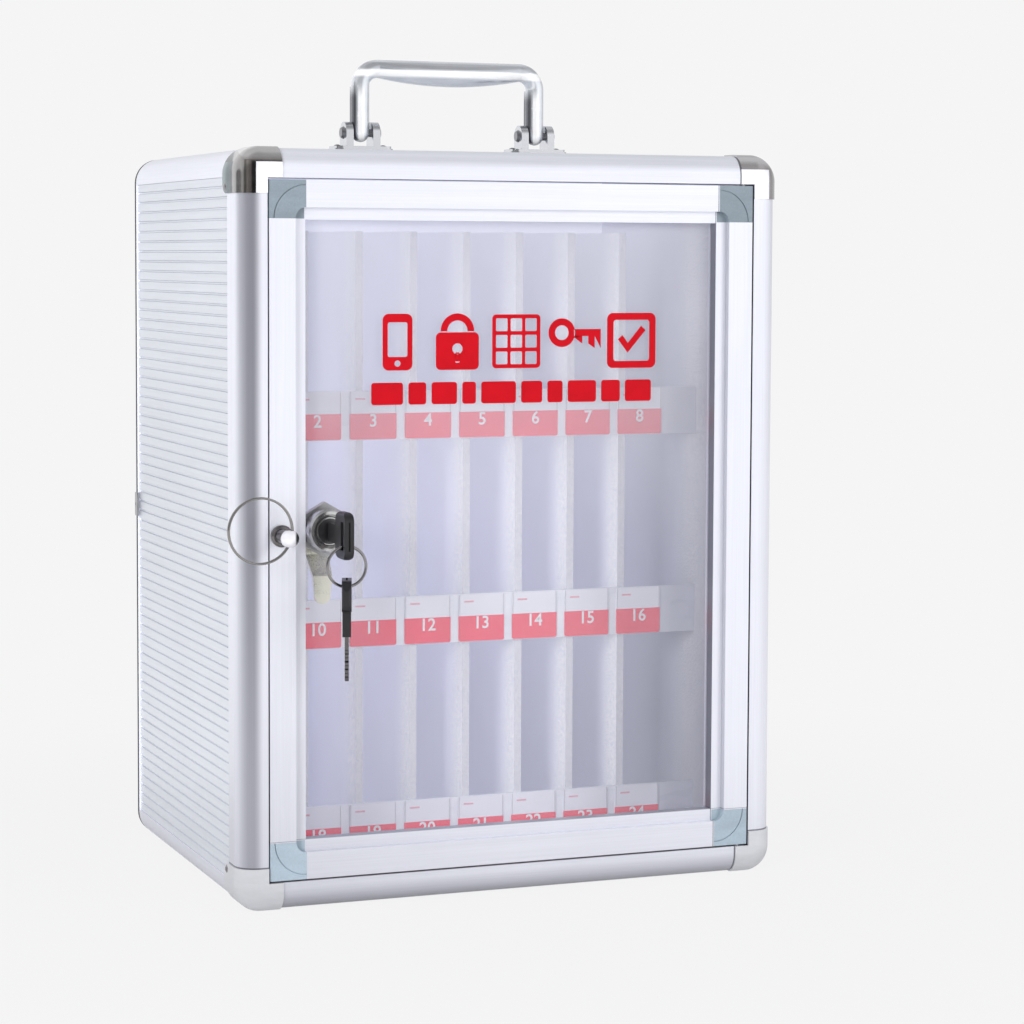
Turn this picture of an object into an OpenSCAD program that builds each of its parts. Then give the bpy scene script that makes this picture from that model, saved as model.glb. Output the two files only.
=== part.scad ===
// Portable locker box for phones: an aluminium case with a clear door, a handle and a rack of pockets.
// The front faces -Y, +X is to the right seen from the front, and the origin is the middle of the base.

/* [Case] */
// Overall width over the corner caps
case_w = 280; // [250:1:320]
// Overall depth from the front of the caps to the back panel
case_d = 200; // [170:1:240]
// Overall height over the corner caps, without the handle
case_h = 360; // [330:1:400]
// Outer radius of the four long edge rails and of the frame's corners
edge_r = 12.5; // [11.5:0.5:13.5]
// Width of each leg of an edge rail
rail_leg = 13.5; // [13:0.5:16]
// Wall of the edge rails
rail_wall = 1.2; // [1:0.1:1.4]
// Radius of the screw ports inside the edge rails
port_r = 1.45; // [1.2:0.05:1.7]
// Thickness of the dark back board
back_t = 3.2; // [2.5:0.1:5]

/* [Panels] */
// Thickness of the tongue that every panel slides into its groove with
tongue_t = 2.8; // [2:0.1:3.2]
// Depth of the grooves that hold the panels
groove_d = 4; // [3:0.25:4.5]
// Clearance round a tongue in its groove
panel_gap = 0.1; // [0.05:0.05:0.2]
// Pitch of the ribs on the side panels
rib_pitch = 5.05; // [4:0.05:8]
// Width of the groove between two ribs
rib_groove_w = 1.3; // [0.8:0.1:2]
// Depth of the groove between two ribs
rib_groove_d = 0.9; // [0.4:0.1:1.4]
// How far the ribs lie inside the faces of the rails
rib_inset = 0.8; // [0.4:0.1:1]

/* [Front frame] */
// Width of the frame's face around the door
frame_face = 14; // [13.5:0.5:18]
// Depth of the frame's sides
frame_side = 19.2; // [17:0.2:24]
// Radius of the frame's front edge
front_r = 10; // [7:0.5:11]
// Wall of the frame
frame_wall = 1.5; // [1.2:0.1:1.8]
// Depth of the return wall behind the opening's edge
return_d = 15; // [13:0.5:16]

/* [Corner caps] */
// Thickness of the caps
cap_t = 0.8; // [0.6:0.1:1.2]
// Length of a cap's legs along the front frame
cap_leg = 22; // [18:0.5:28]
// Reach of a cap behind the front frame
cap_behind = 5.5; // [5.5:0.5:20]
// Radius of the corners of a cap's plates
cap_corner_r = 6; // [3:0.5:9]
// Radius of a cap rivet's head
rivet_r = 1.9; // [1.5:0.1:2.5]

/* [Door] */
// Gap between the door and the frame
door_gap = 0.8; // [0.7:0.1:1.2]
// Thickness of the door
door_t = 13.8; // [13:0.2:15]
// How far the door's face lies behind the frame's face
door_set_back = 0.2; // [0:0.1:0.6]
// Width of the flat outer part of a door member
door_flat = 12.8; // [11.5:0.1:15]
// Full width of a door member, with its ledge
door_member = 18.5; // [18:0.5:22]
// Drop from the flat part to the ledge
ledge_drop = 3.3; // [2:0.1:4.5]
// Wall of the door members
door_wall = 1.4; // [1.2:0.1:1.6]
// Size of the corner blocks
block_size = 18; // [17:0.5:21]
// Thickness of the clear panel
clear_t = 3; // [2.5:0.1:3.4]
// Depth of the clear panel's front face behind the door's face
clear_depth = 9; // [8.6:0.1:9.4]
// Overlap of the clear panel in its groove
clear_bite = 5; // [3.5:0.1:5]

/* [Hinge] */
// Distance of the pin from the door's right-hand edge
hinge_a = 4.5; // [4.2:0.1:5.5]
// Distance of the pin behind the door's face
hinge_b = 2.5; // [2.4:0.1:2.8]
// Radius of the hinge pins
hinge_pin_r = 1.5; // [1.2:0.1:1.6]
// Depth of a hinge pin in the door
hinge_bite = 10; // [7:0.5:14]

/* [Pull knob] */
// Distance of the knob from the door's left edge
knob_inset = 5.6; // [5.4:0.1:6.5]
// Height of the knob above the underside
knob_z = 178.3; // [150:0.5:210]
// Radius of the knob's base
knob_base_r = 5.2; // [4.5:0.1:5.4]
// Radius of the knob's ball
ball_r = 4.3; // [3.8:0.1:5]
// Reach of the ball's centre in front of the door
ball_reach = 14; // [12:0.5:18]
// Radius of the hole through the ball
ball_bore_r = 2; // [1.9:0.1:2.2]
// Radius of the pull ring, to the middle of its wire
pull_ring_r = 15.2; // [13:0.2:18]
// Radius of the pull ring's two wires
pull_wire_r = 0.55; // [0.4:0.05:0.6]
// Height of the pull ring's middle above the ball, which it is tilted up from
ring_lift = 4; // [2:0.5:4.5]

/* [Lock] */
// Distance of the lock from the door's left edge
lock_inset = 31; // [30.8:0.2:39]
// Height of the lock above the underside
lock_z = 179.3; // [150:0.5:210]
// Radius of the lock's bezel
bezel_r = 10.5; // [10.4:0.1:10.8]
// Radius of the lock's barrel
barrel_r = 9.6; // [9.3:0.1:9.7]
// Length of the barrel behind the clear panel
barrel_len = 13.4; // [12.5:0.2:15]
// Radius of the turning plug
plug_r = 6; // [5.5:0.1:6.6]
// Reach of the cam from the lock's axis
cam_reach = 36; // [33:0.5:38]
// Thickness of the cam
cam_t = 2; // [1.6:0.1:2.2]
// Forward step of the cam's end
cam_joggle = 9.5; // [8.5:0.25:9.75]
// Running clearance of turning fits
run_gap = 0.08; // [0.05:0.01:0.1]

/* [Keys] */
// Thickness of a key's plastic head
head_t = 4.6; // [4:0.1:5.2]
// Width of a key's head
head_w = 22.5; // [21:0.5:24]
// Length of the broad part of a key's head
head_len = 14.5; // [13.5:0.5:18]
// Length of the narrow neck of a key's head
neck_len = 12; // [9:0.5:15]
// Width of the narrow neck
neck_w = 9; // [8.4:0.2:11]
// Length of a key's blade outside its head
blade_len = 21; // [19:0.5:23]
// Height of a key's blade
blade_h = 7; // [6:0.2:8]
// Thickness of a key's blade
blade_t = 1.9; // [1.6:0.1:2.2]
// Width of the slot in a key's head
slot_w = 4; // [3.6:0.1:4.6]
// Rim between the slot and the end of the head
slot_rim_end = 2.2; // [1.8:0.1:3]
// Rim between the slot and each side of the head
slot_rim_side = 4.6; // [4:0.1:5]
// Radius of the key ring, to the middle of its wire
keyring_r = 9.4; // [8.8:0.2:11]
// Radius of the key ring's wire
keyring_wire_r = 0.7; // [0.5:0.05:0.8]
// Reach of the key's head in front of the door's face
key_reach = 25; // [23.5:0.5:26.5]
// Turn of the hanging key about the vertical
spare_turn = 18; // [0:1:24]

/* [Handle] */
// Distance between the two legs of the handle
leg_pitch = 94.7; // [80:0.5:120]
// Radius of the legs
leg_r = 4.6; // [4:0.1:5]
// Height of the pivot above the top of the case
pivot_h = 11.8; // [10.5:0.1:14]
// Height of the grip's top above the top of the case
grip_top = 48.8; // [40:0.5:60]
// Radius of the bend between leg and grip, to the middle of the bar
bend_r = 9; // [7:0.5:14]
// Radius of the swelling in the middle of the grip
grip_mid_r = 8.3; // [5.5:0.1:9]
// Radius of the pivot pins
pivot_r = 2; // [1.5:0.1:2.4]
// Width of a bracket's base
base_w = 31; // [27:0.5:36]
// Depth of a bracket's base
base_d = 18; // [15:0.5:24]
// Thickness of a bracket's base
base_t = 5; // [4:0.1:6]
// Thickness of a bracket's ears
ear_t = 3.8; // [3:0.1:5]
// Gap between a leg and each ear
ear_gap = 0.6; // [0.3:0.1:1]
// Radius of the ears about the pivot
ear_r = 5.5; // [5:0.1:6.5]

/* [Rack] */
// Room between each side of the rack and the side panel
rack_room = 4.1; // [3:0.1:11]
// Thickness of the rack's sides
rack_side_t = 4; // [3:0.5:4.5]
// Distance from the front of the case to the rack's dividers
rack_front = 72; // [60:1:90]
// Distance from the front of the case to the front edge of the rack's sides
side_front = 21; // [20.5:0.5:30]
// Gap between the rack and the back board
rack_back_gap = 0.3; // [0.2:0.1:1]
// Thickness of the rack's back board
rack_back_t = 4; // [3:0.5:6]
// Height of the lowest shelf above the underside
rack_z = 10.3; // [8:0.1:16]
// Height of one tier
tier_h = 103.7; // [90:0.1:105]
// Room above the dividers of the upper tier
rack_top_room = 37.8; // [33:0.1:60]
// Thickness of the shelves
shelf_t = 3.5; // [2.5:0.25:5]
// Thickness of the dividers
divider_t = 3.75; // [3:0.25:5]
// Pitch of the dividers
divider_pitch = 28.5; // [26:0.1:30]
// Dividers in one tier
divider_count = 7; // [5:2:7]
// Height of the label strips
strip_h = 24.4; // [20:0.2:30]
// Thickness of the label strips
strip_t = 2; // [1.5:0.1:3]
// Width of a number card
card_w = 24.4; // [20:0.2:26]
// Pitch of the number cards
card_pitch = 29; // [27:0.1:29.4]
// Thickness of a number card
card_t = 0.6; // [0.4:0.1:1]
// Room left of the first card
card_left = 6.3; // [2:0.1:12]

/* [Hidden] */
$fn = 64;

// The shell lies inside the caps, which stand proud at the front, the sides and the top
shell_w = case_w - 2 * cap_t;
shell_h = case_h - cap_t;
half_w = shell_w / 2;
mid_z = shell_h / 2;
half_h = shell_h / 2;
front_y = -case_d / 2 + cap_t;
back_y = case_d / 2;
board_y = back_y - back_t;
frame_back_y = front_y + frame_side;

// The frame's turned corners stop short of their axis, and its flat strip covers the rest
axis_gap = 0.6;

// A groove is the tongue and its clearance, between two walls of the rail
groove_w = tongue_t + 2 * panel_gap;
band = 2 * rail_wall + groove_w;
tongue_in = rail_wall + panel_gap;
panel_inner = tongue_in + tongue_t;
tongue_len = groove_d - 0.5;

// Screws of the back board, on the axes of the ports in the rails
screw_u = band + 0.8;
screw_head_r = 3.4;
screw_head_h = 2;
screw_len = 10;
boss_r = port_r + 1.7;

// The door fills the frame's opening less the gap
open_half_w = half_w - frame_face;
open_half_h = half_h - frame_face;
door_half_w = open_half_w - door_gap;
door_half_h = open_half_h - door_gap;
door_y = front_y + door_set_back;
door_back_y = door_y + door_t;
clear_y = door_y + clear_depth;
clear_back_y = clear_y + clear_t;
tenon_len = 9;

// Arc cut into the face of a corner block, round its inner corner
arc_r = block_size - 2.6;
arc_w = 0.5;
arc_depth = 0.5;
tenon_gap = 0.15;
pin_press = 0.02;

// A cap's rivet, from the top of the case and from its front
rivet_z = case_h - 19;
rivet_shank_r = rivet_r / 2;
rivet_y = frame_back_y + rivet_shank_r + 0.35;
cap_reach = cap_t + frame_side + cap_behind;
hinge_x = door_half_w - hinge_a;
hinge_y = door_y + hinge_b;

knob_x = -(door_half_w - knob_inset);
ball_y = door_y - ball_reach;

// The ring's wire passes through the ball's bore, so its place is the middle of the bend inside
bore_low = ring_lift + ball_r * 0.9;
ring_x = knob_x - (pull_ring_r + sqrt(pull_ring_r * pull_ring_r - bore_low * bore_low)) / 2;
stud_r = 2;
stud_nut_h = 3.2;
// Corner radius of a hexagon 7 mm across its flats
stud_nut_r = 4.04;

lock_x = door_half_w - lock_inset;
barrel_end_y = clear_back_y + barrel_len;
lock_face = 5.5;
lock_hex = 2 * barrel_r + 3.8;
barrel_gap = 0.4;
lock_nut_h = 4;
plug_back = lock_face - 0.6;
spindle = 7.4;
cam_hub_r = 7;
cam_tip_r = 4;
cam_bend = 14;

// A key's place is measured from the end of its head
key_front_y = door_y - key_reach;
key_end_y = key_front_y + head_len + neck_len + blade_len;
slot_y = key_front_y + slot_rim_end + slot_w / 2;
slot_half = head_w / 2 - slot_rim_side;
key_groove = 0.9;
ring_seat = 3.5;
pivot_drop = head_w / 2 - slot_rim_side / 2;
keyring_drop = pivot_drop - ring_seat + keyring_r - keyring_wire_r;
keyring_z = lock_z - keyring_drop;

// The hanging key's rim rests on the ring's curve, so its ends set how high it sits
keyring_inner = keyring_r - keyring_wire_r;
rim_reach = head_t / 2 / cos(spare_turn) + keyring_wire_r * tan(spare_turn) + 0.1;
rim_lift = keyring_inner - sqrt(keyring_inner * keyring_inner - rim_reach * rim_reach) + 0.15;
spare_top = keyring_z - keyring_inner + rim_lift + slot_rim_end;

top_z = shell_h;
pivot_z = top_z + pivot_h;
bar_z = top_z + grip_top - leg_r;

// Flat rib along the back of each leg
leg_rib = 1.6 * leg_r;

// Screws of a bracket's base, in from its ends
foot_screw_in = 3.4;

rack_y = -case_d / 2 + rack_front;
rack_end_y = board_y - rack_back_gap;
shelf_end_y = rack_end_y - rack_back_t;
floor_z = band;
rack_half = half_w - panel_inner - rack_room - rack_side_t;
rack_side_top = shell_h - band - 0.3;
rack_top = shell_h - rack_top_room;
cards = floor((2 * rack_half - card_left - card_w) / card_pitch) + 1;
tiers = 3;

// Flat outlines stood up or turned, so that they run along one axis
module along_x(x0, x1) { translate([x0, 0, 0]) rotate([90, 0, 90]) linear_extrude(x1 - x0) children(); }
module along_y(y0, y1) { translate([0, y1, 0]) rotate([90, 0, 0]) linear_extrude(y1 - y0) children(); }
module along_z(z0, z1) { translate([0, 0, z0]) linear_extrude(z1 - z0) children(); }
module block(low, high) { translate(low) cube(high - low); }
module rod_x(x0, x1, r) { translate([x0, 0, 0]) rotate([0, 90, 0]) cylinder(h = x1 - x0, r = r); }
module rod_y(y0, y1, r) { translate([0, y1, 0]) rotate([90, 0, 0]) cylinder(h = y1 - y0, r = r); }

// Rounded rectangle about the origin
module round_rect(w, h, r) {
    union() {
        square([w - 2 * r, h], center = true);
        square([w, h - 2 * r], center = true);
        for (x = [-1, 1], y = [-1, 1]) translate([x * (w / 2 - r), y * (h / 2 - r)]) circle(r);
    }
}

// Square with its corner at the origin rounded
module soft_corner(size, r) {
    difference() {
        square(size);
        difference() {
            translate([-1, -1]) square(r + 1);
            translate([r, r]) circle(r);
        }
    }
}

// Panels
module flat_panel() {
    clear_w = half_w - rail_leg - panel_gap;
    union() {
        block([-clear_w, frame_back_y + panel_gap, 0], [clear_w, board_y, panel_inner]);
        block([-clear_w - tongue_len, frame_back_y - tongue_len, tongue_in],
            [clear_w + tongue_len, board_y, panel_inner]);
    }
}
module bottom_panel() { color("gainsboro") flat_panel(); }
module top_panel() { color("gainsboro") translate([0, 0, shell_h]) mirror([0, 0, 1]) flat_panel(); }

// Section of a ribbed panel: u runs inwards from the rails' face, the height runs along Y of the outline
module ribbed_section() {
    low = rail_leg + panel_gap;
    high = shell_h - rail_leg - panel_gap;
    ribs = floor((high - low) / rib_pitch);
    first = (low + high) / 2 - (ribs - 1) / 2 * rib_pitch;
    slant = rib_groove_w / 4;
    difference() {
        union() {
            translate([rib_inset, low]) square([panel_inner - rib_inset, high - low]);
            translate([tongue_in, low - tongue_len]) square([tongue_t, high - low + 2 * tongue_len]);
        }
        for (i = [0 : ribs - 1]) translate([rib_inset, first + i * rib_pitch])
            polygon([[-1, -rib_groove_w / 2], [0, -rib_groove_w / 2],
                [rib_groove_d, slant - rib_groove_w / 2], [rib_groove_d, rib_groove_w / 2 - slant],
                [0, rib_groove_w / 2], [-1, rib_groove_w / 2]]);
    }
}
module side_panel() {
    union() {
        translate([-half_w, 0, 0]) along_y(frame_back_y + panel_gap, board_y) ribbed_section();
        block([tongue_in - half_w, frame_back_y - tongue_len, rail_leg + panel_gap - tongue_len],
            [panel_inner - half_w, frame_back_y + 1, shell_h - rail_leg - panel_gap + tongue_len]);
    }
}
module left_side_panel() { color("silver") side_panel(); }
module right_side_panel() { color("silver") mirror([1, 0, 0]) side_panel(); }

module at_rail_ports(y) {
    for (x = [-1, 1], z = [screw_u, shell_h - screw_u])
        translate([x * (half_w - screw_u), y, z]) children();
}
module back_panel() {
    color("dimgray") difference() {
        translate([0, 0, mid_z]) along_y(board_y, back_y) round_rect(shell_w, shell_h, edge_r);
        at_rail_ports(0) rod_y(board_y - 1, back_y + 1, port_r + 0.45);
        at_rail_ports(back_y) rotate([90, 0, 0])
            cylinder(h = screw_head_h, r1 = screw_head_r + 0.1, r2 = port_r + 0.45);
    }
}
module back_screws() {
    color("silver") at_rail_ports(0) difference() {
        union() {
            rod_y(board_y - screw_len, back_y - screw_head_h - 0.1, port_r - 0.05);
            translate([0, back_y - 0.2, 0]) rotate([90, 0, 0])
                cylinder(h = screw_head_h, r1 = screw_head_r - 0.2, r2 = port_r - 0.05);
        }
        for (a = [0, 90])
            translate([0, back_y - 0.6, 0]) rotate([0, a, 0]) cube([0.9, 2, 4], center = true);
    }
}

// Edge rails
module rail_section() {
    difference() {
        union() {
            difference() {
                soft_corner(rail_leg, edge_r);
                translate([band, band]) square(rail_leg);
            }
            translate([screw_u, screw_u]) circle(boss_r);
        }
        translate([screw_u, screw_u]) circle(port_r);
        for (a = [0, 1]) mirror([a, -a])
            translate([rail_wall, rail_leg - groove_d]) square([groove_w, groove_d + 1]);
    }
}
module rail() { translate([-half_w, 0, 0]) along_y(frame_back_y, board_y) rail_section(); }
module at_top() { translate([0, 0, shell_h]) mirror([0, 0, 1]) children(); }
module at_right() { mirror([1, 0, 0]) children(); }
module rail_bottom_left() { color("lightsteelblue") rail(); }
module rail_bottom_right() { color("lightsteelblue") at_right() rail(); }
module rail_top_left() { color("lightsteelblue") at_top() rail(); }
module rail_top_right() { color("lightsteelblue") at_right() at_top() rail(); }

// Front frame: section with u inwards from the side and w backwards from the front
module frame_section(reach) {
    difference() {
        union() {
            difference() {
                soft_corner([reach, frame_side], front_r);
                translate([frame_wall, frame_wall]) soft_corner([edge_r, frame_side], front_r - frame_wall);
            }
            translate([0, frame_side - groove_d - rail_wall]) square([band, groove_d + rail_wall]);
        }
        translate([rail_wall, frame_side - groove_d]) square([groove_w, groove_d + 1]);
    }
}

// Strip of the frame beside the opening, cut to its mitres
module mitred_strip(half, len, u0, u1) {
    polygon([[u0 - half, u0 - edge_r - len / 2], [u0 - half, len / 2 + edge_r - u0],
        [u1 - half, len / 2 + edge_r - u1], [u1 - half, u1 - edge_r - len / 2]]);
}
module frame_member(half, len) {
    union() {
        translate([-half, front_y, -len / 2]) linear_extrude(len) frame_section(edge_r - axis_gap);
        for (s = [0, 1]) mirror([0, 0, s]) intersection() {
            translate([edge_r - half, 0, len / 2]) rotate([90, 0, 0]) rotate([0, 0, 90])
                rotate_extrude(angle = 90) translate([edge_r, -front_y]) rotate(180)
                    frame_section(edge_r - axis_gap);
            along_y(-case_d, 0) translate([edge_r - half, len / 2])
                polygon([[0, -1], [0, 0], [-edge_r - 1, edge_r + 1], [-edge_r - 1, -1]]);
        }
        along_y(front_y, front_y + frame_wall) mitred_strip(half, len, edge_r - 2 * axis_gap, frame_face);
        along_y(front_y, front_y + return_d) mitred_strip(half, len, frame_face - frame_wall, frame_face);
    }
}
module upright() { translate([0, 0, mid_z]) frame_member(half_w, shell_h - 2 * edge_r); }
module crosspiece(turn) {
    translate([0, 0, mid_z]) rotate([0, turn, 0]) frame_member(half_h, shell_w - 2 * edge_r);
}
module frame_left() { color("whitesmoke") upright(); }
module frame_right() { color("whitesmoke") at_right() upright(); }
module frame_top() {
    color("whitesmoke") difference() {
        crosspiece(90);
        translate([hinge_x, hinge_y, mid_z + open_half_h - 1])
            cylinder(h = frame_wall + 2, r = hinge_pin_r + pin_press);
    }
}
module frame_bottom() {
    color("whitesmoke") difference() {
        crosspiece(-90);
        translate([hinge_x, hinge_y, mid_z - open_half_h - frame_wall - 1])
            cylinder(h = frame_wall + 2, r = hinge_pin_r + pin_press);
    }
}

// Corner caps: a skin over the rounded corner of the frame and the rail behind it
module corner_form(grow, reach) {
    r = edge_r + grow;
    f = front_r + grow;
    far = 60;
    back = front_y + reach;
    module skin_section() {
        translate([r, grow - front_y]) rotate(180) soft_corner([r, reach + grow], f);
    }
    union() {
        translate([edge_r - half_w, 0, mid_z + half_h - edge_r]) rotate([90, 0, 0]) rotate([0, 0, 90])
            rotate_extrude(angle = 90) skin_section();
        translate([edge_r - half_w, 0, mid_z + half_h - edge_r - far]) mirror([1, 0, 0])
            linear_extrude(far) mirror([0, 1]) skin_section();
        translate([edge_r - half_w, 0, mid_z + half_h - edge_r]) rotate([0, 90, 0])
            mirror([1, 0, 0]) linear_extrude(far) mirror([0, 1]) skin_section();
        block([edge_r - half_w, front_y - grow, mid_z + half_h - edge_r - far],
            [edge_r - half_w + far, back, mid_z + half_h - edge_r]);
    }
}
module cap() {
    edge = -case_w / 2;
    front = -case_d / 2;
    over = 20;
    tall = 60;
    difference() {
        intersection() {
            corner_form(cap_t, cap_reach);
            along_x(edge - 1, 0) translate([front - over, case_h - cap_leg])
                round_tongue(cap_reach + over, tall);
            along_z(case_h - tall, case_h + 1) translate([edge + cap_leg, front - over])
                rotate(90) round_tongue(cap_reach + over, tall);
        }
        corner_form(0, cap_reach + 1);
        along_y(front - 1, back_y) translate([-open_half_w, 0]) square([open_half_w, mid_z + open_half_h]);
        translate([0, rivet_y, rivet_z]) rod_x(edge - 1, edge + cap_leg, rivet_shank_r + 0.05);
    }
}

// Plate outline from the origin, with its far lower corner rounded
module round_tongue(len, h) {
    difference() {
        square([len, h]);
        translate([len - cap_corner_r, 0]) difference() {
            translate([0, -1]) square([cap_corner_r + 1, cap_corner_r + 1]);
            translate([0, cap_corner_r]) circle(cap_corner_r);
        }
    }
}
module cap_top_left() { color("silver") cap(); }
module cap_top_right() { color("silver") at_right() cap(); }
module cap_bottom_left() { color("silver") low_cap(); }
module cap_bottom_right() { color("silver") at_right() low_cap(); }

// The lower caps end flush with the underside
module low_cap() {
    difference() {
        at_top() cap();
        block([-case_w, -case_d, -2 * cap_t], [case_w, case_d, 0]);
    }
}

// Rivets: a domed head on a short shank, one at the end of each cap's side plate
module rivet() {
    head_h = rivet_r * 0.35;
    ball = (rivet_r * rivet_r + head_h * head_h) / (2 * head_h);
    shank = cap_t + rib_inset - 0.05;
    union() {
        intersection() {
            translate([0, 0, head_h - ball]) sphere(ball);
            cylinder(h = head_h + 1, r = rivet_r);
        }
        translate([0, 0, -shank]) cylinder(h = shank + 0.01, r = rivet_shank_r);
    }
}
module cap_rivets() {
    color("gray") for (s = [-1, 1], z = [rivet_z, shell_h - rivet_z])
        translate([s * case_w / 2, rivet_y, z]) rotate([0, s * 90, 0]) rivet();
}

// Small riveted plate on the rear left edge, level with the lock
module rear_clip() {
    color("silver") difference() {
        translate([-half_w, back_y - 2.6, lock_z - 1.8]) along_x(-cap_t, 0) round_rect(5, 12.5, 1.2);
        translate([-half_w - cap_t, back_y - 1.6, lock_z - 1.8]) rotate([0, 90, 0])
            cylinder(h = 0.5, r1 = 1.1, r2 = 0.6);
    }
}

// Handle
module bracket() {
    inner = leg_r + ear_gap;
    rim_h = 1.2;
    rim_in = 0.8;
    difference() {
        union() {
            along_z(top_z, top_z + base_t - rim_h) round_rect(base_w, base_d, 4);
            along_z(top_z + base_t - rim_h, top_z + base_t)
                round_rect(base_w - 2 * rim_in, base_d - 2 * rim_in, 4 - rim_in);
            for (s = [0, 1]) mirror([s, 0, 0]) {
                translate([0, 0, pivot_z]) rod_x(inner, inner + ear_t, ear_r);
                block([inner, -ear_r, top_z], [inner + ear_t, ear_r, pivot_z]);
            }
        }
        translate([0, 0, pivot_z]) rod_x(-base_w, base_w, pivot_r + pin_press);
        for (s = [-1, 1])
            translate([s * (base_w / 2 - foot_screw_in), 0, top_z - 1]) cylinder(h = base_t + 2, r = 1.1);
    }
}
module handle_bracket_left() { color("white") translate([-leg_pitch / 2, 0, 0]) bracket(); }
module handle_bracket_right() { color("white") translate([leg_pitch / 2, 0, 0]) bracket(); }
module bracket_screws() {
    color("silver") for (l = [-1, 1], s = [-1, 1])
        translate([l * leg_pitch / 2 + s * (base_w / 2 - foot_screw_in), 0, top_z]) {
            cylinder(h = base_t, r = 1);
            translate([0, 0, base_t]) intersection() {
                translate([0, 0, 0.9 - 2.7]) sphere(2.7);
                cylinder(h = 2, r = 2);
            }
        }
}
module handle_pins() {
    reach = leg_r + ear_gap + ear_t;
    color("dimgray") for (l = [-1, 1]) translate([l * leg_pitch / 2, 0, pivot_z]) {
        rod_x(-reach, reach, pivot_r);
        for (s = [0, 1]) mirror([s, 0, 0]) translate([reach, 0, 0]) rotate([0, 90, 0])
            cylinder(h = 1.4, r1 = 3.2, r2 = 2.4);
    }
}
module handle_grip() {
    flat = leg_pitch - 2 * bend_r;
    swell = grip_mid_r - leg_r;
    steps = 6;
    end = flat / 2 - 0.01;
    color("white") difference() {
        union() {
            for (s = [0, 1]) mirror([s, 0, 0]) {
                translate([leg_pitch / 2, 0, pivot_z]) cylinder(h = bar_z - bend_r - pivot_z, r = leg_r);
                block([leg_pitch / 2 - leg_rib / 2, 0, pivot_z],
                    [leg_pitch / 2 + leg_rib / 2, leg_r + 1, bar_z - bend_r]);
                translate([leg_pitch / 2, 0, pivot_z]) sphere(leg_r);
                translate([leg_pitch / 2 - bend_r, 0, bar_z - bend_r]) rotate([90, 0, 0])
                    rotate_extrude(angle = 90) translate([bend_r, 0]) circle(leg_r);
            }
            hull() for (i = [-steps : steps]) {
                more = swell * (1 - pow(i / steps, 2));
                translate([i / steps * end - 0.01, 0, bar_z - more / 2]) rotate([0, 90, 0])
                    linear_extrude(0.02) scale([1 + more / 2 / leg_r, 1 + more / leg_r])
                        circle(leg_r, $fn = 40);
            }
        }
        translate([0, 0, pivot_z]) rod_x(-leg_pitch, leg_pitch, pivot_r + run_gap);
    }
}

// Rack of pockets
module rack_side() {
    front = side_front - case_d / 2;
    difference() {
        block([-rack_half - rack_side_t, front, floor_z], [-rack_half, rack_end_y, rack_side_top]);
        for (z = [screw_u, shell_h - screw_u])
            translate([screw_u - half_w, 0, z]) rod_y(front - 1, rack_end_y + 1, boss_r + 0.2);
    }
}
module rack_side_left() { color("whitesmoke") rack_side(); }
module rack_side_right() { color("whitesmoke") at_right() rack_side(); }
module rack_back() {
    color("whitesmoke")
        block([-rack_half, shelf_end_y, floor_z], [rack_half, rack_end_y, rack_top]);
}
module rack_shelves() {
    color("whitesmoke") for (i = [0 : tiers - 1]) {
        low = rack_z + i * tier_h;
        block([-rack_half, rack_y, low], [rack_half, shelf_end_y, low + shelf_t]);
    }
}
module dividers(tier) {
    low = rack_z + tier * tier_h + shelf_t;
    high = tier == tiers - 1 ? rack_top : low + tier_h - shelf_t;
    mid = (divider_count - 1) / 2;
    for (k = [-mid : mid])
        block([k * divider_pitch - divider_t / 2, rack_y, low],
            [k * divider_pitch + divider_t / 2, shelf_end_y, high]);
}
module lower_dividers() { color("whitesmoke") dividers(0); }
module middle_dividers() { color("whitesmoke") dividers(1); }
module upper_dividers() { color("whitesmoke") dividers(tiers - 1); }
module label_strips() {
    color("aliceblue") for (i = [0 : tiers - 1]) {
        low = rack_z + i * tier_h;
        block([-rack_half, rack_y - strip_t, low], [rack_half, rack_y, low + strip_h]);
    }
}
module number_cards() {
    color("white") for (i = [0 : tiers - 1], k = [0 : cards - 1]) {
        x = card_left + card_w / 2 + k * card_pitch - rack_half;
        translate([x, rack_y - strip_t, rack_z + i * tier_h + strip_h / 2])
            along_y(-card_t, 0) round_rect(card_w, strip_h - 0.6, 1);
    }
}

// Door: section of a member with u inwards from the edge and w backwards from the face
module door_section() {
    lip = clear_depth - door_wall;
    difference() {
        union() {
            difference() {
                square([door_flat, door_t]);
                translate([door_wall, door_wall])
                    square([door_flat - 2 * door_wall, door_t - 2 * door_wall]);
            }
            translate([door_flat - 0.5, ledge_drop])
                square([door_member - door_flat + 0.5, clear_depth - ledge_drop]);
            translate([door_flat - 0.5, clear_depth + clear_t + 0.2])
                square([door_member - door_flat - 0.5, door_t - clear_depth - clear_t - 0.4]);
        }
        translate([door_flat, ledge_drop + door_wall])
            square([door_member - door_flat - door_wall, lip - ledge_drop - door_wall]);
        translate([door_member - clear_bite - 0.3, clear_depth]) square([clear_bite + 1, clear_t + 0.2]);
    }
}

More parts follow.
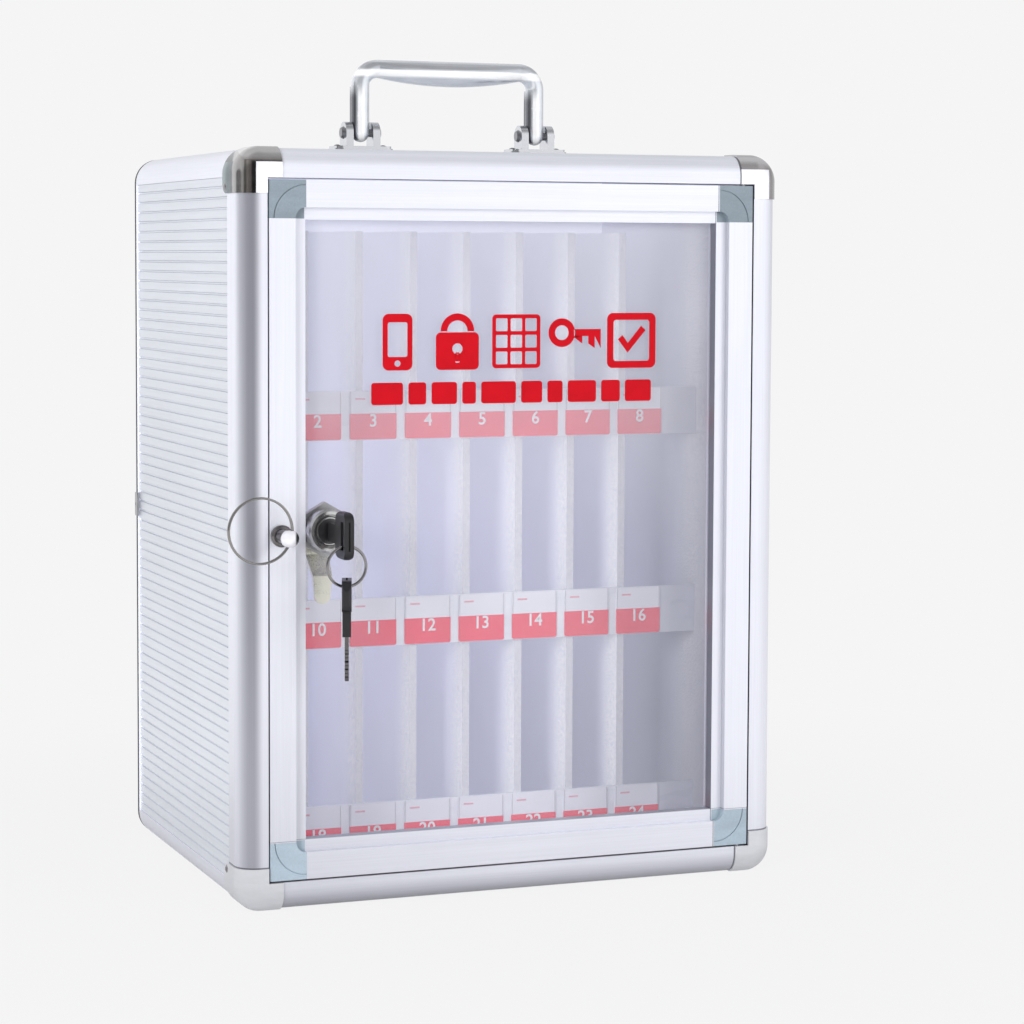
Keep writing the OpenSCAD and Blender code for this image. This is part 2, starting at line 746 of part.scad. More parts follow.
// A member's ledge reaches past the corner blocks, and is mitred against its neighbour there
module member(half, len) {
    past = max(0, door_member - block_size);
    intersection() {
        translate([-half, door_y, -len / 2]) linear_extrude(len) door_section();
        translate([-half, 0]) along_y(door_y - 1, door_back_y + 1)
            polygon([[0, -len / 2], [0, len / 2], [door_member - past, len / 2],
                [door_member + 1, len / 2 - past - 1], [door_member + 1, past + 1 - len / 2],
                [door_member - past, -len / 2]]);
    }
}
module stile_holes() {
    translate([knob_x, 0, knob_z]) rod_y(door_y - 1, door_y + door_wall + 1, stud_r + 0.1);
}
module door_stile() { translate([0, 0, mid_z]) member(door_half_w, 2 * (door_half_h - block_size)); }
module door_rail(turn) {
    translate([0, 0, mid_z]) rotate([0, turn, 0]) member(door_half_h, 2 * (door_half_w - block_size));
}
module door_stile_left() { color("gainsboro") difference() { door_stile(); stile_holes(); } }
module door_stile_right() { color("gainsboro") at_right() door_stile(); }
module door_rail_top() { color("gainsboro") door_rail(90); }
module door_rail_bottom() { color("gainsboro") door_rail(-90); }

// Corner block of the top left corner: sunk at its inner corner, with a tenon into each member
module corner_block() {
    inner_x = block_size - door_half_w;
    inner_z = mid_z + door_half_h - block_size;
    t0 = door_wall + tenon_gap;
    t1 = door_flat - door_wall - tenon_gap;
    difference() {
        union() {
            block([-door_half_w, door_y, inner_z], [inner_x, door_back_y, mid_z + door_half_h]);
            block([-door_half_w + t0, door_y + t0, inner_z - tenon_len],
                [-door_half_w + t1, door_back_y - t0, inner_z + 1]);
            block([inner_x - 1, door_y + t0, mid_z + door_half_h - t1],
                [inner_x + tenon_len, door_back_y - t0, mid_z + door_half_h - t0]);
        }
        translate([inner_x, 0, inner_z]) rod_y(door_y - 1, door_y + ledge_drop, block_size - door_flat);
        translate([inner_x, 0, inner_z]) difference() {
            rod_y(door_y - 1, door_y + arc_depth, arc_r + arc_w);
            rod_y(door_y - 2, door_y + arc_depth + 1, arc_r);
        }
    }
}
module hinge_bore() {
    translate([hinge_x, hinge_y, mid_z + door_half_h - hinge_bite - 0.5])
        cylinder(h = hinge_bite + 2, r = hinge_pin_r + run_gap);
}
module flip_z() { translate([0, 0, mid_z]) mirror([0, 0, 1]) translate([0, 0, -mid_z]) children(); }
module door_corner_top_left() { color("lightslategray") corner_block(); }
module door_corner_bottom_left() { color("lightslategray") flip_z() corner_block(); }
module bored_corner() {
    difference() {
        at_right() corner_block();
        hinge_bore();
    }
}
module door_corner_top_right() { color("lightslategray") bored_corner(); }
module door_corner_bottom_right() { color("lightslategray") flip_z() bored_corner(); }

// The panel's corners are notched round the corner blocks
module door_panel() {
    w = door_half_w - door_member + clear_bite;
    h = door_half_h - door_member + clear_bite;
    notch = clear_bite + max(0, block_size + 0.3 - door_member);
    color("aliceblue", 0.4) difference() {
        block([-w, clear_y + 0.1, mid_z - h], [w, clear_back_y + 0.1, mid_z + h]);
        translate([-lock_x, 0, lock_z]) rod_y(clear_y - 1, clear_back_y + 1, barrel_r + barrel_gap);
        for (x = [-1, 1], z = [-1, 1]) translate([x * w, clear_y, mid_z + z * h])
            cube([2 * notch, 4 * clear_t, 2 * notch], center = true);
    }
}
module hinge_pins() {
    color("silver") for (s = [0, 1]) translate([0, 0, mid_z]) mirror([0, 0, s]) {
        translate([hinge_x, hinge_y, door_half_h - hinge_bite])
            cylinder(h = hinge_bite + door_gap + frame_wall + 0.1, r = hinge_pin_r);
    }
}

// Knob and pull ring
module knob() {
    color("white") translate([knob_x, door_y, knob_z]) difference() {
        rotate([90, 0, 0]) union() {
            cylinder(h = 1.6, r = knob_base_r);
            translate([0, 0, 1.6]) cylinder(h = 1, r1 = knob_base_r, r2 = knob_base_r - 1);
            translate([0, 0, 2.5]) cylinder(h = ball_reach - ball_r - 1.5, r1 = 3.8, r2 = 2.4);
            translate([0, 0, ball_reach]) sphere(ball_r);
            translate([0, 0, -door_wall - stud_nut_h - 0.4])
                cylinder(h = door_wall + stud_nut_h + 0.8, r = stud_r);
        }
        translate([0, -ball_reach, -2 * ball_r]) cylinder(h = 4 * ball_r, r = ball_bore_r);
    }
}
module knob_nut() {
    color("silver") translate([knob_x, door_y + door_wall, knob_z]) rotate([-90, 0, 0]) difference() {
        cylinder(h = stud_nut_h, r = stud_nut_r, $fn = 6);
        translate([0, 0, -1]) cylinder(h = stud_nut_h + 2, r = stud_r + pin_press);
    }
}
module pull_ring() {
    color("gray") translate([ring_x, ball_y, knob_z + ring_lift]) rotate([90, 0, 0])
        rotate_extrude() translate([pull_ring_r, 0])
            for (s = [-1, 1]) translate([0, s * pull_wire_r * 0.92]) circle(pull_wire_r);
}

// Lock
module lock_housing() {
    color("silver") translate([-lock_x, 0, lock_z]) difference() {
        union() {
            rod_y(clear_y - lock_face + 1, clear_y, bezel_r);
            translate([0, clear_y - lock_face + 1, 0]) rotate([90, 0, 0])
                cylinder(h = 1, r1 = bezel_r, r2 = bezel_r - 1);
            rod_y(clear_y - 1, barrel_end_y, barrel_r);
        }
        rod_y(clear_y - lock_face - 1, barrel_end_y + 1, plug_r + run_gap);
        translate([0, clear_y - lock_face + 1.2, 0]) rotate([90, 0, 0])
            cylinder(h = 3, r1 = plug_r + 0.6, r2 = bezel_r);
    }
}
module lock_nut() {
    color("silver") translate([-lock_x, clear_back_y + 0.1, lock_z]) rotate([-90, 0, 0]) difference() {
        rotate(30) cylinder(h = lock_nut_h, r = lock_hex / 2 / cos(30), $fn = 6);
        translate([0, 0, -1]) cylinder(h = lock_nut_h + 2, r = barrel_r + pin_press);
    }
}
module lock_plug() {
    color("dimgray") translate([-lock_x, 0, lock_z]) difference() {
        union() {
            rod_y(clear_y - plug_back, barrel_end_y + 0.3, plug_r);
            translate([-spindle / 2, barrel_end_y, -spindle / 2]) cube([spindle, cam_t + 0.6, spindle]);
            rod_y(barrel_end_y, barrel_end_y + cam_t + 4.4, stud_r);
        }
        block([-blade_t / 2 - 0.15, clear_y - lock_face, -blade_h / 2 - 0.2],
            [blade_t / 2 + 0.15, key_end_y + 0.5, blade_h / 2 + 0.2]);
    }
}
module lock_cam() {
    y = barrel_end_y + 0.3;
    color("silver") translate([-lock_x, y, lock_z]) difference() {
        intersection() {
            along_x(-cam_reach, cam_reach) polygon([[0, cam_reach], [cam_t, cam_reach], [cam_t, -cam_bend],
                [cam_t - cam_joggle, -cam_bend - cam_joggle],
                [cam_t - cam_joggle, -cam_reach - 1], [-cam_joggle, -cam_reach - 1],
                [-cam_joggle, 1 - cam_bend - cam_joggle], [0, 1 - cam_bend]]);
            union() {
                rod_y(-cam_reach, cam_reach, cam_hub_r);
                translate([0, 0, cam_tip_r - cam_reach]) rod_y(-cam_reach, cam_reach, cam_tip_r);
                along_y(-cam_reach, cam_reach) polygon([[-cam_hub_r * 0.97, -1.5], [cam_hub_r * 0.97, -1.5],
                    [cam_tip_r * 0.98, cam_tip_r - cam_reach + 0.5],
                    [-cam_tip_r * 0.98, cam_tip_r - cam_reach + 0.5]]);
            }
        }
        translate([-spindle / 2 - 0.05, -1, -spindle / 2 - 0.05])
            cube([spindle + 0.1, cam_t + 2, spindle + 0.1]);
    }
}
module cam_nut() {
    color("silver") translate([-lock_x, barrel_end_y + cam_t + 0.6, lock_z]) rotate([-90, 0, 0])
        difference() {
            union() {
                cylinder(h = 0.8, r = 5);
                translate([0, 0, 0.8]) cylinder(h = 2.6, r = stud_nut_r, $fn = 6);
            }
            translate([0, 0, -1]) cylinder(h = 6, r = stud_r + pin_press);
        }
}

// Keys: drawn along +Y from the end of the head at the origin, with the width along Z
module key_head_form() {
    corner = 5;
    edge = 1.9;
    difference() {
        union() {
            intersection() {
                along_x(-head_t / 2, head_t / 2) translate([head_len / 2, 0])
                    round_rect(head_len, head_w, corner);
                along_y(-1, head_len + 1) round_rect(head_t, head_w, edge);
            }
            along_x(-head_t / 2 + 0.3, head_t / 2 - 0.3) translate([head_len - 2, -neck_w / 2])
                square([neck_len + 2, neck_w]);
        }
        along_y(-1, key_groove) square([key_groove, head_w * 0.6], center = true);
        along_x(-head_t, head_t) translate([slot_rim_end, -slot_half]) square([slot_w, 2 * slot_half]);
        block([-blade_t / 2 - 0.02, head_len + 2, -blade_h / 2 - 0.02],
            [blade_t / 2 + 0.02, head_len + neck_len + 1, blade_h / 2 + 0.02]);
    }
}
module key_blade_form() {
    end = head_len + neck_len + blade_len;
    along_x(-blade_t / 2, blade_t / 2) difference() {
        translate([head_len + 2, -blade_h / 2]) square([end - head_len - 2, blade_h]);
        for (i = [0 : 3]) translate([end - 3 - i * 3.6, -blade_h / 2])
            polygon([[-1.6, -1], [1.6, -1], [0.6, 0.7 + 0.5 * (i % 3)], [-0.6, 0.7 + 0.5 * (i % 3)]]);
        translate([end, blade_h / 2]) rotate(45) square([3, 3], center = true);
        translate([end, -blade_h / 2]) rotate(45) square([3, 3], center = true);
    }
}
module in_lock() { translate([-lock_x, key_front_y, lock_z]) children(); }
module hanging() {
    translate([-lock_x, slot_y, spare_top]) rotate([0, 0, -spare_turn]) rotate([-90, 0, 0]) children();
}
module key_blade() { color("silver") in_lock() key_blade_form(); }
module key_head() { color("black") in_lock() key_head_form(); }
module keyring() {
    color("gray") translate([-lock_x, slot_y, keyring_z]) rotate([90, 0, 0]) rotate_extrude()
        translate([keyring_r, 0]) circle(keyring_wire_r);
}
module spare_blade() { color("silver") hanging() key_blade_form(); }
module spare_head() { color("black") hanging() key_head_form(); }

bottom_panel();
top_panel();
left_side_panel();
right_side_panel();
back_panel();
rail_bottom_left();
rail_bottom_right();
rail_top_left();
rail_top_right();
frame_left();
frame_right();
frame_top();
frame_bottom();
cap_top_left();
cap_top_right();
cap_bottom_left();
cap_bottom_right();
cap_rivets();
back_screws();
rear_clip();
handle_bracket_left();
handle_bracket_right();
bracket_screws();
handle_pins();
handle_grip();
rack_side_left();
rack_side_right();
rack_back();
rack_shelves();
lower_dividers();
middle_dividers();
upper_dividers();
label_strips();
number_cards();
door_stile_left();
door_stile_right();
door_rail_top();
door_rail_bottom();
door_corner_top_left();
door_corner_top_right();
door_corner_bottom_left();
door_corner_bottom_right();
door_panel();
hinge_pins();
knob();
knob_nut();
pull_ring();
lock_housing();
lock_nut();
lock_plug();
lock_cam();
cam_nut();
key_blade();
key_head();
keyring();
spare_blade();
spare_head();
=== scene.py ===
import math

import bmesh
import bpy
from bpy.props import FloatProperty, FloatVectorProperty, IntProperty, PointerProperty
from mathutils import Matrix, Vector


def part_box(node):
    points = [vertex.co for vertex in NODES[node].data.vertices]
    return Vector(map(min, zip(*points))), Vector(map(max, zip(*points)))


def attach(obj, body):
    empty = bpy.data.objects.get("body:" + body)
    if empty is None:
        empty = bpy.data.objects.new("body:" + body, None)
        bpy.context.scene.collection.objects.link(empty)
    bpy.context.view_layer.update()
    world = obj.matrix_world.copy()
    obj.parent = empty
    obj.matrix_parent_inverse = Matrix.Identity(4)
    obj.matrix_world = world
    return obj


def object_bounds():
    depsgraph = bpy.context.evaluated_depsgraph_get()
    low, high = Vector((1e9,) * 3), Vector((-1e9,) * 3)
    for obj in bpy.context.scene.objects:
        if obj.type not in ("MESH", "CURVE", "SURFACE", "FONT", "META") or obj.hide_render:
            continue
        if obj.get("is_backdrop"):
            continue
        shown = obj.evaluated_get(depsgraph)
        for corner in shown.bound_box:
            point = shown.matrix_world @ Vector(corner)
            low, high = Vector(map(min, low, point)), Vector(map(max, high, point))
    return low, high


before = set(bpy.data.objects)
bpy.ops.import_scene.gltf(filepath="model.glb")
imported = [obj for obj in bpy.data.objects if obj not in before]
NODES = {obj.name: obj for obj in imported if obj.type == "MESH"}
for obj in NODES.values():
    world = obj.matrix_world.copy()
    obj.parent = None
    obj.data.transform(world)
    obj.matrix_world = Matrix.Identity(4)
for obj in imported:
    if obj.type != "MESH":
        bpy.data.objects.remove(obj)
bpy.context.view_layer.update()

bl_info = {
    "name": "Phone locker box",
    "version": (1, 0, 0),
    "blender": (4, 5, 0),
    "location": "3D View > Sidebar > Locker",
    "description": "Finishes, printed marks and studio stage for a portable phone locker",
    "category": "Object",
}

MIDDLE_HEIGHT = (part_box("back_panel")[0].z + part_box("back_panel")[1].z) / 2
MM = 0.001

# How near a mask comes to the face that it takes
NEAR = 0.0002
# Half the height between the plain sheets' inner faces
LINED_HALF_HEIGHT = 0.1757
# Radius of the frame's rounding, and of the caps over it
FRAME_ROUNDING = 0.010
CAP_ROUNDING = 0.0108
# Thickness of a printed mark
INK = 0.00008

BLACK = (0.0, 0.0, 0.0)
WHITE = (1.0, 1.0, 1.0)
SHADED = (0.10, 0.10, 0.13)

# Painted reflections on the upper caps: greys from the outer edge of a cap's rounding to its flat front
LEFT_CAP_PAINTED_REFLECTIONS = [
    (0.0, (0.10, 0.11, 0.11)), (0.07, (0.50, 0.49, 0.49)), (0.40, (0.56, 0.54, 0.53)),
    (0.52, (0.42, 0.40, 0.39)), (0.57, (0.12, 0.11, 0.10)), (0.66, (0.34, 0.31, 0.29)),
    (0.80, (0.22, 0.19, 0.18)), (0.86, (0.03, 0.026, 0.025)), (0.985, (0.03, 0.027, 0.027)),
    (1.0, (0.95, 0.95, 1.0)),
]
RIGHT_CAP_PAINTED_REFLECTIONS = [
    (0.0, (0.25, 0.24, 0.25)), (0.14, (0.66, 0.65, 0.67)), (0.45, (0.50, 0.48, 0.48)),
    (0.72, (0.36, 0.34, 0.34)), (0.97, (0.40, 0.38, 0.38)), (1.0, (0.95, 0.95, 1.0)),
]


# Shader maths


class Value:
    """A number on its way through a material's nodes, which plain operators work on."""

    def __init__(self, finish, socket):
        self.finish = finish
        self.socket = socket

    def _math(self, operation, a, b):
        node = self.finish.node("ShaderNodeMath", {"operation": operation}, {0: a, 1: b})
        return Value(self.finish, node.outputs[0])

    def __add__(self, other):
        return self._math("ADD", self, other)

    def __radd__(self, other):
        return self._math("ADD", other, self)

    def __sub__(self, other):
        return self._math("SUBTRACT", self, other)

    def __rsub__(self, other):
        return self._math("SUBTRACT", other, self)

    def __mul__(self, other):
        return self._math("MULTIPLY", self, other)

    def __rmul__(self, other):
        return self._math("MULTIPLY", other, self)

    def __truediv__(self, other):
        return self._math("DIVIDE", self, other)

    def __mod__(self, other):
        return self._math("FLOORED_MODULO", self, other)

    def __gt__(self, other):
        return self._math("GREATER_THAN", self, other)

    def __lt__(self, other):
        return self._math("LESS_THAN", self, other)

    def __abs__(self):
        return self._math("ABSOLUTE", self, 0.0)

    def power(self, exponent):
        return self._math("POWER", self, exponent)

    def sign(self):
        return self._math("SIGN", self, 0.0)

    def smooth(self, low, high):
        """0 below low, 1 above high, with a soft step between."""
        node = self.finish.node(
            "ShaderNodeMapRange",
            {"interpolation_type": "SMOOTHSTEP"},
            {"Value": self, "From Min": low, "From Max": high},
        )
        return Value(self.finish, node.outputs["Result"])

    def clamped(self):
        node = self.finish.node("ShaderNodeClamp", {}, {"Value": self, "Min": 0.0, "Max": 1.0})
        return Value(self.finish, node.outputs[0])


class Finish:
    """A node tree being wired: the finish of some pieces, or the world round them."""

    def __init__(self, name, tree=None):
        self.material = None
        if tree is None:
            self.material = bpy.data.materials.new(name)
            self.material.use_nodes = True
            tree = self.material.node_tree
        self.tree = tree
        self.tree.nodes.clear()
        self._coords = None

    def feed(self, target, source):
        if isinstance(source, Value):
            self.tree.links.new(source.socket, target)
        elif isinstance(source, bpy.types.NodeSocket):
            self.tree.links.new(source, target)
        else:
            target.default_value = source

    def node(self, kind, settings=None, sockets=None):
        """A node of that type, with its settings made first and its sockets filled after."""
        made = self.tree.nodes.new(kind)
        for key, value in (settings or {}).items():
            if key == "stops":
                ramp = made.color_ramp
                while len(ramp.elements) < len(value):
                    ramp.elements.new(0.5)
                for element, (place, colour) in zip(ramp.elements, value):
                    element.position = place
                    element.color = (*colour, 1.0)
            else:
                setattr(made, key, value)
        for key, value in (sockets or {}).items():
            self.feed(made.inputs[key], value)
        return made

    @property
    def coords(self):
        if self._coords is None:
            self._coords = self.node("ShaderNodeTexCoord").outputs["Object"]
        return self._coords

    def axes(self, vector=None):
        parts = self.node("ShaderNodeSeparateXYZ", {}, {0: vector or self.coords})
        return [Value(self, parts.outputs[i]) for i in range(3)]

    def stretched(self, per_metre):
        node = self.node("ShaderNodeVectorMath", {"operation": "MULTIPLY"}, {0: self.coords, 1: per_metre})
        return node.outputs[0]

    def noise(self, per_metre, detail=3.0, roughness=0.55, distortion=0.0):
        if isinstance(per_metre, (int, float)):
            per_metre = (per_metre,) * 3
        node = self.node(
            "ShaderNodeTexNoise",
            {"noise_dimensions": "3D"},
            {"Vector": self.stretched(per_metre), "Scale": 1.0, "Detail": detail, "Roughness": roughness,
             "Distortion": distortion},
        )
        return Value(self, node.outputs["Fac"])

    def cells(self, per_metre):
        node = self.node(
            "ShaderNodeTexVoronoi", {"feature": "F1"},
            {"Vector": self.stretched((per_metre,) * 3), "Scale": 1.0},
        )
        return Value(self, node.outputs["Distance"])

    def least(self, first, second):
        node = self.node("ShaderNodeMath", {"operation": "MINIMUM"}, {0: first, 1: second})
        return Value(self, node.outputs[0])

    def mix(self, share, first, second):
        """A colour between two others, by share."""
        made = self.node("ShaderNodeMix", {"data_type": "RGBA"}, {"Factor": share})
        for index, colour in ((6, first), (7, second)):
            if not isinstance(colour, (Value, bpy.types.NodeSocket)):
                colour = (*colour[:3], 1.0)
            self.feed(made.inputs[index], colour)
        return made.outputs[2]

    def bump(self, height, strength, distance):
        sockets = {"Height": height, "Strength": strength, "Distance": distance}
        return self.node("ShaderNodeBump", {}, sockets).outputs["Normal"]

    def surface(self, **sockets):
        """The shader itself. Names of its sockets are written with underscores."""
        shader = self.node("ShaderNodeBsdfPrincipled")
        for key, value in sockets.items():
            if isinstance(value, (tuple, list)) and len(value) == 3:
                value = (*value, 1.0)
            self.feed(shader.inputs[key.replace("_", " ")], value)
        self.node("ShaderNodeOutputMaterial", {}, {"Surface": shader.outputs[0]})
        return self.material


def shade(colour, factor):
    return tuple(min(1.0, c * factor) for c in colour[:3])


# Finishes


def sideways(x, y, axis_x=0.0, axis_y=0.0):
    """Distance to the right of an upright axis, for someone who looks from the front left."""
    return (x - axis_x) * 0.931 - (y - axis_y) * 0.365


def wipe_marks(finish):
    """The marks that a cloth leaves on plating, and its fine pores."""
    return finish.noise((60.0, 60.0, 160.0), 4.0, 0.6, 0.6), finish.noise(1800.0, 2.0)


def gap_shadow(finish):
    """1 on the walls of the narrow gap between door and frame, where hardly any light reaches."""
    x, y, z = finish.axes()
    edge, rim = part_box("door_stile_left")[0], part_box("frame_left")[1]
    top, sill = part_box("door_rail_top")[1].z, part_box("door_rail_bottom")[0].z
    middle, half_gap = (top + sill) / 2, (edge.x - rim.x) / 2
    side = abs(abs(x) + (edge.x + rim.x) / 2) < half_gap + NEAR
    level = abs(abs(z - middle) - (top - sill) / 2 - half_gap) < half_gap + NEAR
    return (side * (0.3 + (x > 0.0) * 0.7) + level * 0.3).clamped() * (y > edge.y + NEAR)


def cap_edge_shadow(finish, places):
    """1 on thin lines across an axis: a painted shadow at the edge of a piece that lies over this one."""
    x, y, z = finish.axes()
    lines = 0.0
    for axis, low, high in places:
        value = {"x": x, "z": z}[axis]
        lines = (value > low) * (value < high) + lines
    return lines.clamped()


def round_shade(finish):
    """Painted reflection and shade on the frame: a dark streak along the middle of its left rounding, and painted
    shade under its lower one.
    """
    x, y, z = finish.axes()
    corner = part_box("frame_left")[0]
    across = sideways(x, y, corner.x + FRAME_ROUNDING, corner.y + FRAME_ROUNDING)
    # Painted reflection along the left rounding, and painted shade under the lower rounding
    streak = across.smooth(-0.0098, -0.0012) * (1.0 - across.smooth(0.0006, 0.0056)) * (x < 0.0)
    under = (1.0 - z.smooth(-0.001, 0.0125)) * (1.0 - (y + 0.084).smooth(0.0, 0.004))
    return (streak * (0.55 + z.smooth(0.02, 0.2) * 0.2) + under * 0.5).clamped()


def reveal_shade(finish):
    """Painted shade on the ends of the ledges that face the panel, and on the small step between flat and ledge."""
    x, y, z = finish.axes()
    stile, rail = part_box("door_stile_right"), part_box("door_rail_bottom")
    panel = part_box("door_panel")[0].y
    step_in = 0.0128
    side = (abs(x - stile[0].x) < NEAR) * (y < panel)
    sill = (abs(z - rail[1].z) < NEAR) * (y < panel)
    step = (abs(x - stile[1].x + step_in) < NEAR) * (y < panel)
    return (side * 0.85 + sill * 0.5 + step * 0.3).clamped()


def drawn_aluminium(name, colour, along, roughness=0.3, gap=False, shadow_lines=(), shades=None, lined=False):
    """Anodised extrusion or sheet: fine die lines run along it, over a soft cloudiness. It may carry painted shade,
    in the gap round the door, in thin lines beside the caps, from a shade mask and at the lower left, and a painted
    glow on the inner faces of the plain sheets.
    """
    finish = Finish(name)
    lines = [1500.0, 1500.0, 1500.0]
    lines["xyz".index(along)] = 14.0
    fine = finish.noise(tuple(lines), 2.0, 0.6)
    broad = finish.noise(tuple(v * 0.14 if v > 100 else v * 0.4 for v in lines), 2.0)
    cloud = finish.noise(16.0, 3.0)
    specks = finish.noise(2600.0, 1.0)
    tone = (fine * 0.45 + broad * 0.3 + cloud * 0.25).smooth(0.3, 0.7)
    paint = finish.mix(tone, shade(colour, 0.95), shade(colour, 1.03))
    if gap:
        # Painted shadow on the walls of the gap round the door
        paint = finish.mix(gap_shadow(finish), paint, (0.03, 0.035, 0.05))
    if shadow_lines:
        # Painted shadow lines beside the edges of the caps
        paint = finish.mix(cap_edge_shadow(finish, shadow_lines) * 0.75, paint, (0.05, 0.055, 0.07))
    if shades:
        # Painted shade from the given mask
        paint = finish.mix(shades(finish), paint, SHADED)
    x, y, z = finish.axes()
    if gap:
        # Painted shade: the lower left of these pieces is a little darker
        lower_left_shade = (1.0 - z.smooth(0.02, 0.2)) * (1.0 - x.smooth(-0.135, 0.0))
        paint = finish.mix(lower_left_shade * 0.15, paint, SHADED)
    glow = {}
    if lined:
        # Painted glow: the inner faces of the plain sheets glow faintly, lightening the shaded inside of the case
        lining = (abs(z - MIDDLE_HEIGHT) < LINED_HALF_HEIGHT) * (y < 0.09)
        glow = {"Emission_Color": finish.mix(lining, BLACK, (0.80, 0.80, 0.90)), "Emission_Strength": 0.26}
    return finish.surface(
        **glow,
        Base_Color=paint,
        Metallic=0.5,
        Roughness=(roughness - 0.05) + (cloud * 0.6 + fine * 0.4) * 0.12,
        Normal=finish.bump(fine * 0.7 + specks * 0.3, 0.10, 0.00012),
    )


def bright_plating(name, colour, roughness=0.1, smudge=0.14, metallic=1.0):
    """Polished plating with faint wipe marks."""
    finish = Finish(name)
    wipe, pores = wipe_marks(finish)
    return finish.surface(
        Base_Color=finish.mix(wipe.smooth(0.35, 0.7), shade(colour, 0.95), colour),
        Metallic=metallic,
        Roughness=roughness + wipe.smooth(0.45, 0.75) * smudge * 0.5 + pores * 0.03,
        Normal=finish.bump(pores * 0.4 + wipe * 0.6, 0.05, 0.0002),
    )


def cap_with_painted_reflections(name, node, streaks):
    """Polished corner cap with painted reflections: streaks of light and dark follow its roundings, round a flat
    front painted white.
    """
    finish = Finish(name)
    x, y, z = finish.axes()
    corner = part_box(node)
    left = corner[0].x < 0
    edge, axis_x = (corner[0].x, corner[0].x + CAP_ROUNDING) if left else (corner[1].x, corner[1].x - CAP_ROUNDING)
    across = sideways(x, y, axis_x, corner[0].y + CAP_ROUNDING)
    # 0 at the outer edge that is seen, and 1 where the flat front begins
    upright = (across + 0.0098) / 0.0122 if left else (CAP_ROUNDING - across) / 0.0034
    up = (corner[1].z - z) / 0.0076
    inward = finish.least(upright, up * 0.6 + up.smooth(0.84, 1.0) * 0.42)
    wipe, pores = wipe_marks(finish)
    ramp = finish.node("ShaderNodeValToRGB", {"stops": streaks}, {"Fac": inward + (wipe - 0.5) * 0.03})
    # Painted reflection on the left cap's side leg: dark blue-grey near the front, lighter further back
    plate = (y > corner[0].y + 0.0105) * (abs(x - edge) < 0.0014)
    depth = (y - corner[0].y).smooth(0.016, 0.026)
    painted_side_reflection = finish.mix(depth, (0.085, 0.125, 0.14), (0.34, 0.42, 0.43))
    sided = finish.mix(plate * (0.9 if left else 0.0), ramp.outputs["Color"], painted_side_reflection)
    # On the flat front the painted white stands with less metal and more roughness
    flat = inward > 1.0
    # Painted highlight: a pale sheen that fades away from the top edge
    sheen = (upright > inward) * (1.0 - up.smooth(0.5, 0.86)) * 0.28
    return finish.surface(
        Base_Color=finish.mix(sheen + wipe.smooth(0.35, 0.7) * 0.05, sided, WHITE),
        Metallic=0.92 - flat * 0.6,
        Roughness=0.1 + flat * 0.12 + wipe.smooth(0.45, 0.75) * 0.06 + pores * 0.03,
        Normal=finish.bump(pores * 0.4 + wipe * 0.6, 0.05, 0.0002),
    )


def knob_plating_painted_light(name):
    """Polished knob with painted light and dark: a base painted dark, and a ball painted pale, and dark where it
    turns away.
    """
    finish = Finish(name)
    x, y, z = finish.axes()
    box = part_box("knob")
    ball_radius = 0.0043
    ball = 1.0 - y.smooth(box[0].y + 0.0078, box[0].y + 0.0088)
    right = sideways(x, y, (box[0].x + box[1].x) / 2, box[0].y + ball_radius)
    # Painted shade on the side of the ball that turns away
    turned = right.smooth(0.0026, 0.0034)
    pale = finish.mix(turned, (0.84, 0.83, 0.88), (0.03, 0.03, 0.035))
    pores = finish.noise(1800.0, 2.0)
    return finish.surface(
        Base_Color=finish.mix(ball, (0.22, 0.205, 0.21), pale),
        Metallic=0.95 - ball * 0.75,
        Roughness=0.12 + pores * 0.04,
        Normal=finish.bump(pores, 0.04, 0.0002),
    )


def upper_shade(finish):
    """Painted shade: the ribbed sides are a little darker towards the top."""
    x, y, z = finish.axes()
    return 0.05 + z.smooth(0.03, 0.2) * 0.09


def handle_plating_painted_reflections(name):
    """Bright plating of the handle with painted reflections: dark along its back and at the left of each leg, with a
    painted white streak beside.
    """
    finish = Finish(name)
    x, y, z = finish.axes()
    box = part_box("handle_grip")
    leg = box[1].x - 0.0046
    near_leg = 1.0 - z.smooth(box[1].z - 0.020, box[1].z - 0.011)
    across = sideways(x.sign() * (abs(x) - leg), y)
    drop = box[1].z - z
    # Painted reflections: dark bands on the legs and along the bar, and white highlights beside them
    leg_dark_reflection = 1.0 - across.smooth(-0.0022, -0.0010)
    bar_dark_reflection = drop.smooth(0.0008, 0.0018) * (1.0 - drop.smooth(0.0042, 0.0052))
    dark = near_leg * leg_dark_reflection + (1.0 - near_leg) * bar_dark_reflection * 0.4
    leg_highlight = across.smooth(-0.0012, -0.0004) * (1.0 - across.smooth(0.0018, 0.0030))
    bar_highlight = drop.smooth(0.0048, 0.0056) * (1.0 - drop.smooth(0.0078, 0.0094))
    white = (near_leg * leg_highlight + (1.0 - near_leg) * bar_highlight).clamped()
    wipe, pores = wipe_marks(finish)
    plain = finish.mix(wipe.smooth(0.35, 0.7), (0.80, 0.83, 0.88), (0.88, 0.90, 0.94))
    lit = finish.mix(white, plain, WHITE)
    return finish.surface(
        Base_Color=finish.mix(dark.clamped() * 0.9, lit, (0.10, 0.10, 0.12)),
        Metallic=0.7 - white * 0.5,
        Roughness=0.14 + wipe.smooth(0.45, 0.75) * 0.05 + pores * 0.03,
        Normal=finish.bump(pores * 0.4 + wipe * 0.6, 0.05, 0.0002),
    )


def turned_steel(name, colour, roughness=0.3, metallic=1.0):
    """Small turned or stamped steel piece, with fine tool marks and darker stains."""
    finish = Finish(name)
    marks = finish.noise((500.0, 3200.0, 500.0), 3.0, 0.6)
    stain = finish.noise(220.0, 3.0)
    return finish.surface(
        Base_Color=finish.mix((marks * 0.5 + stain * 0.5).smooth(0.3, 0.7), shade(colour, 0.78), colour),
        Metallic=metallic,
        Roughness=(roughness - 0.06) + stain * 0.16,
        Normal=finish.bump(marks, 0.14, 0.0001),
    )


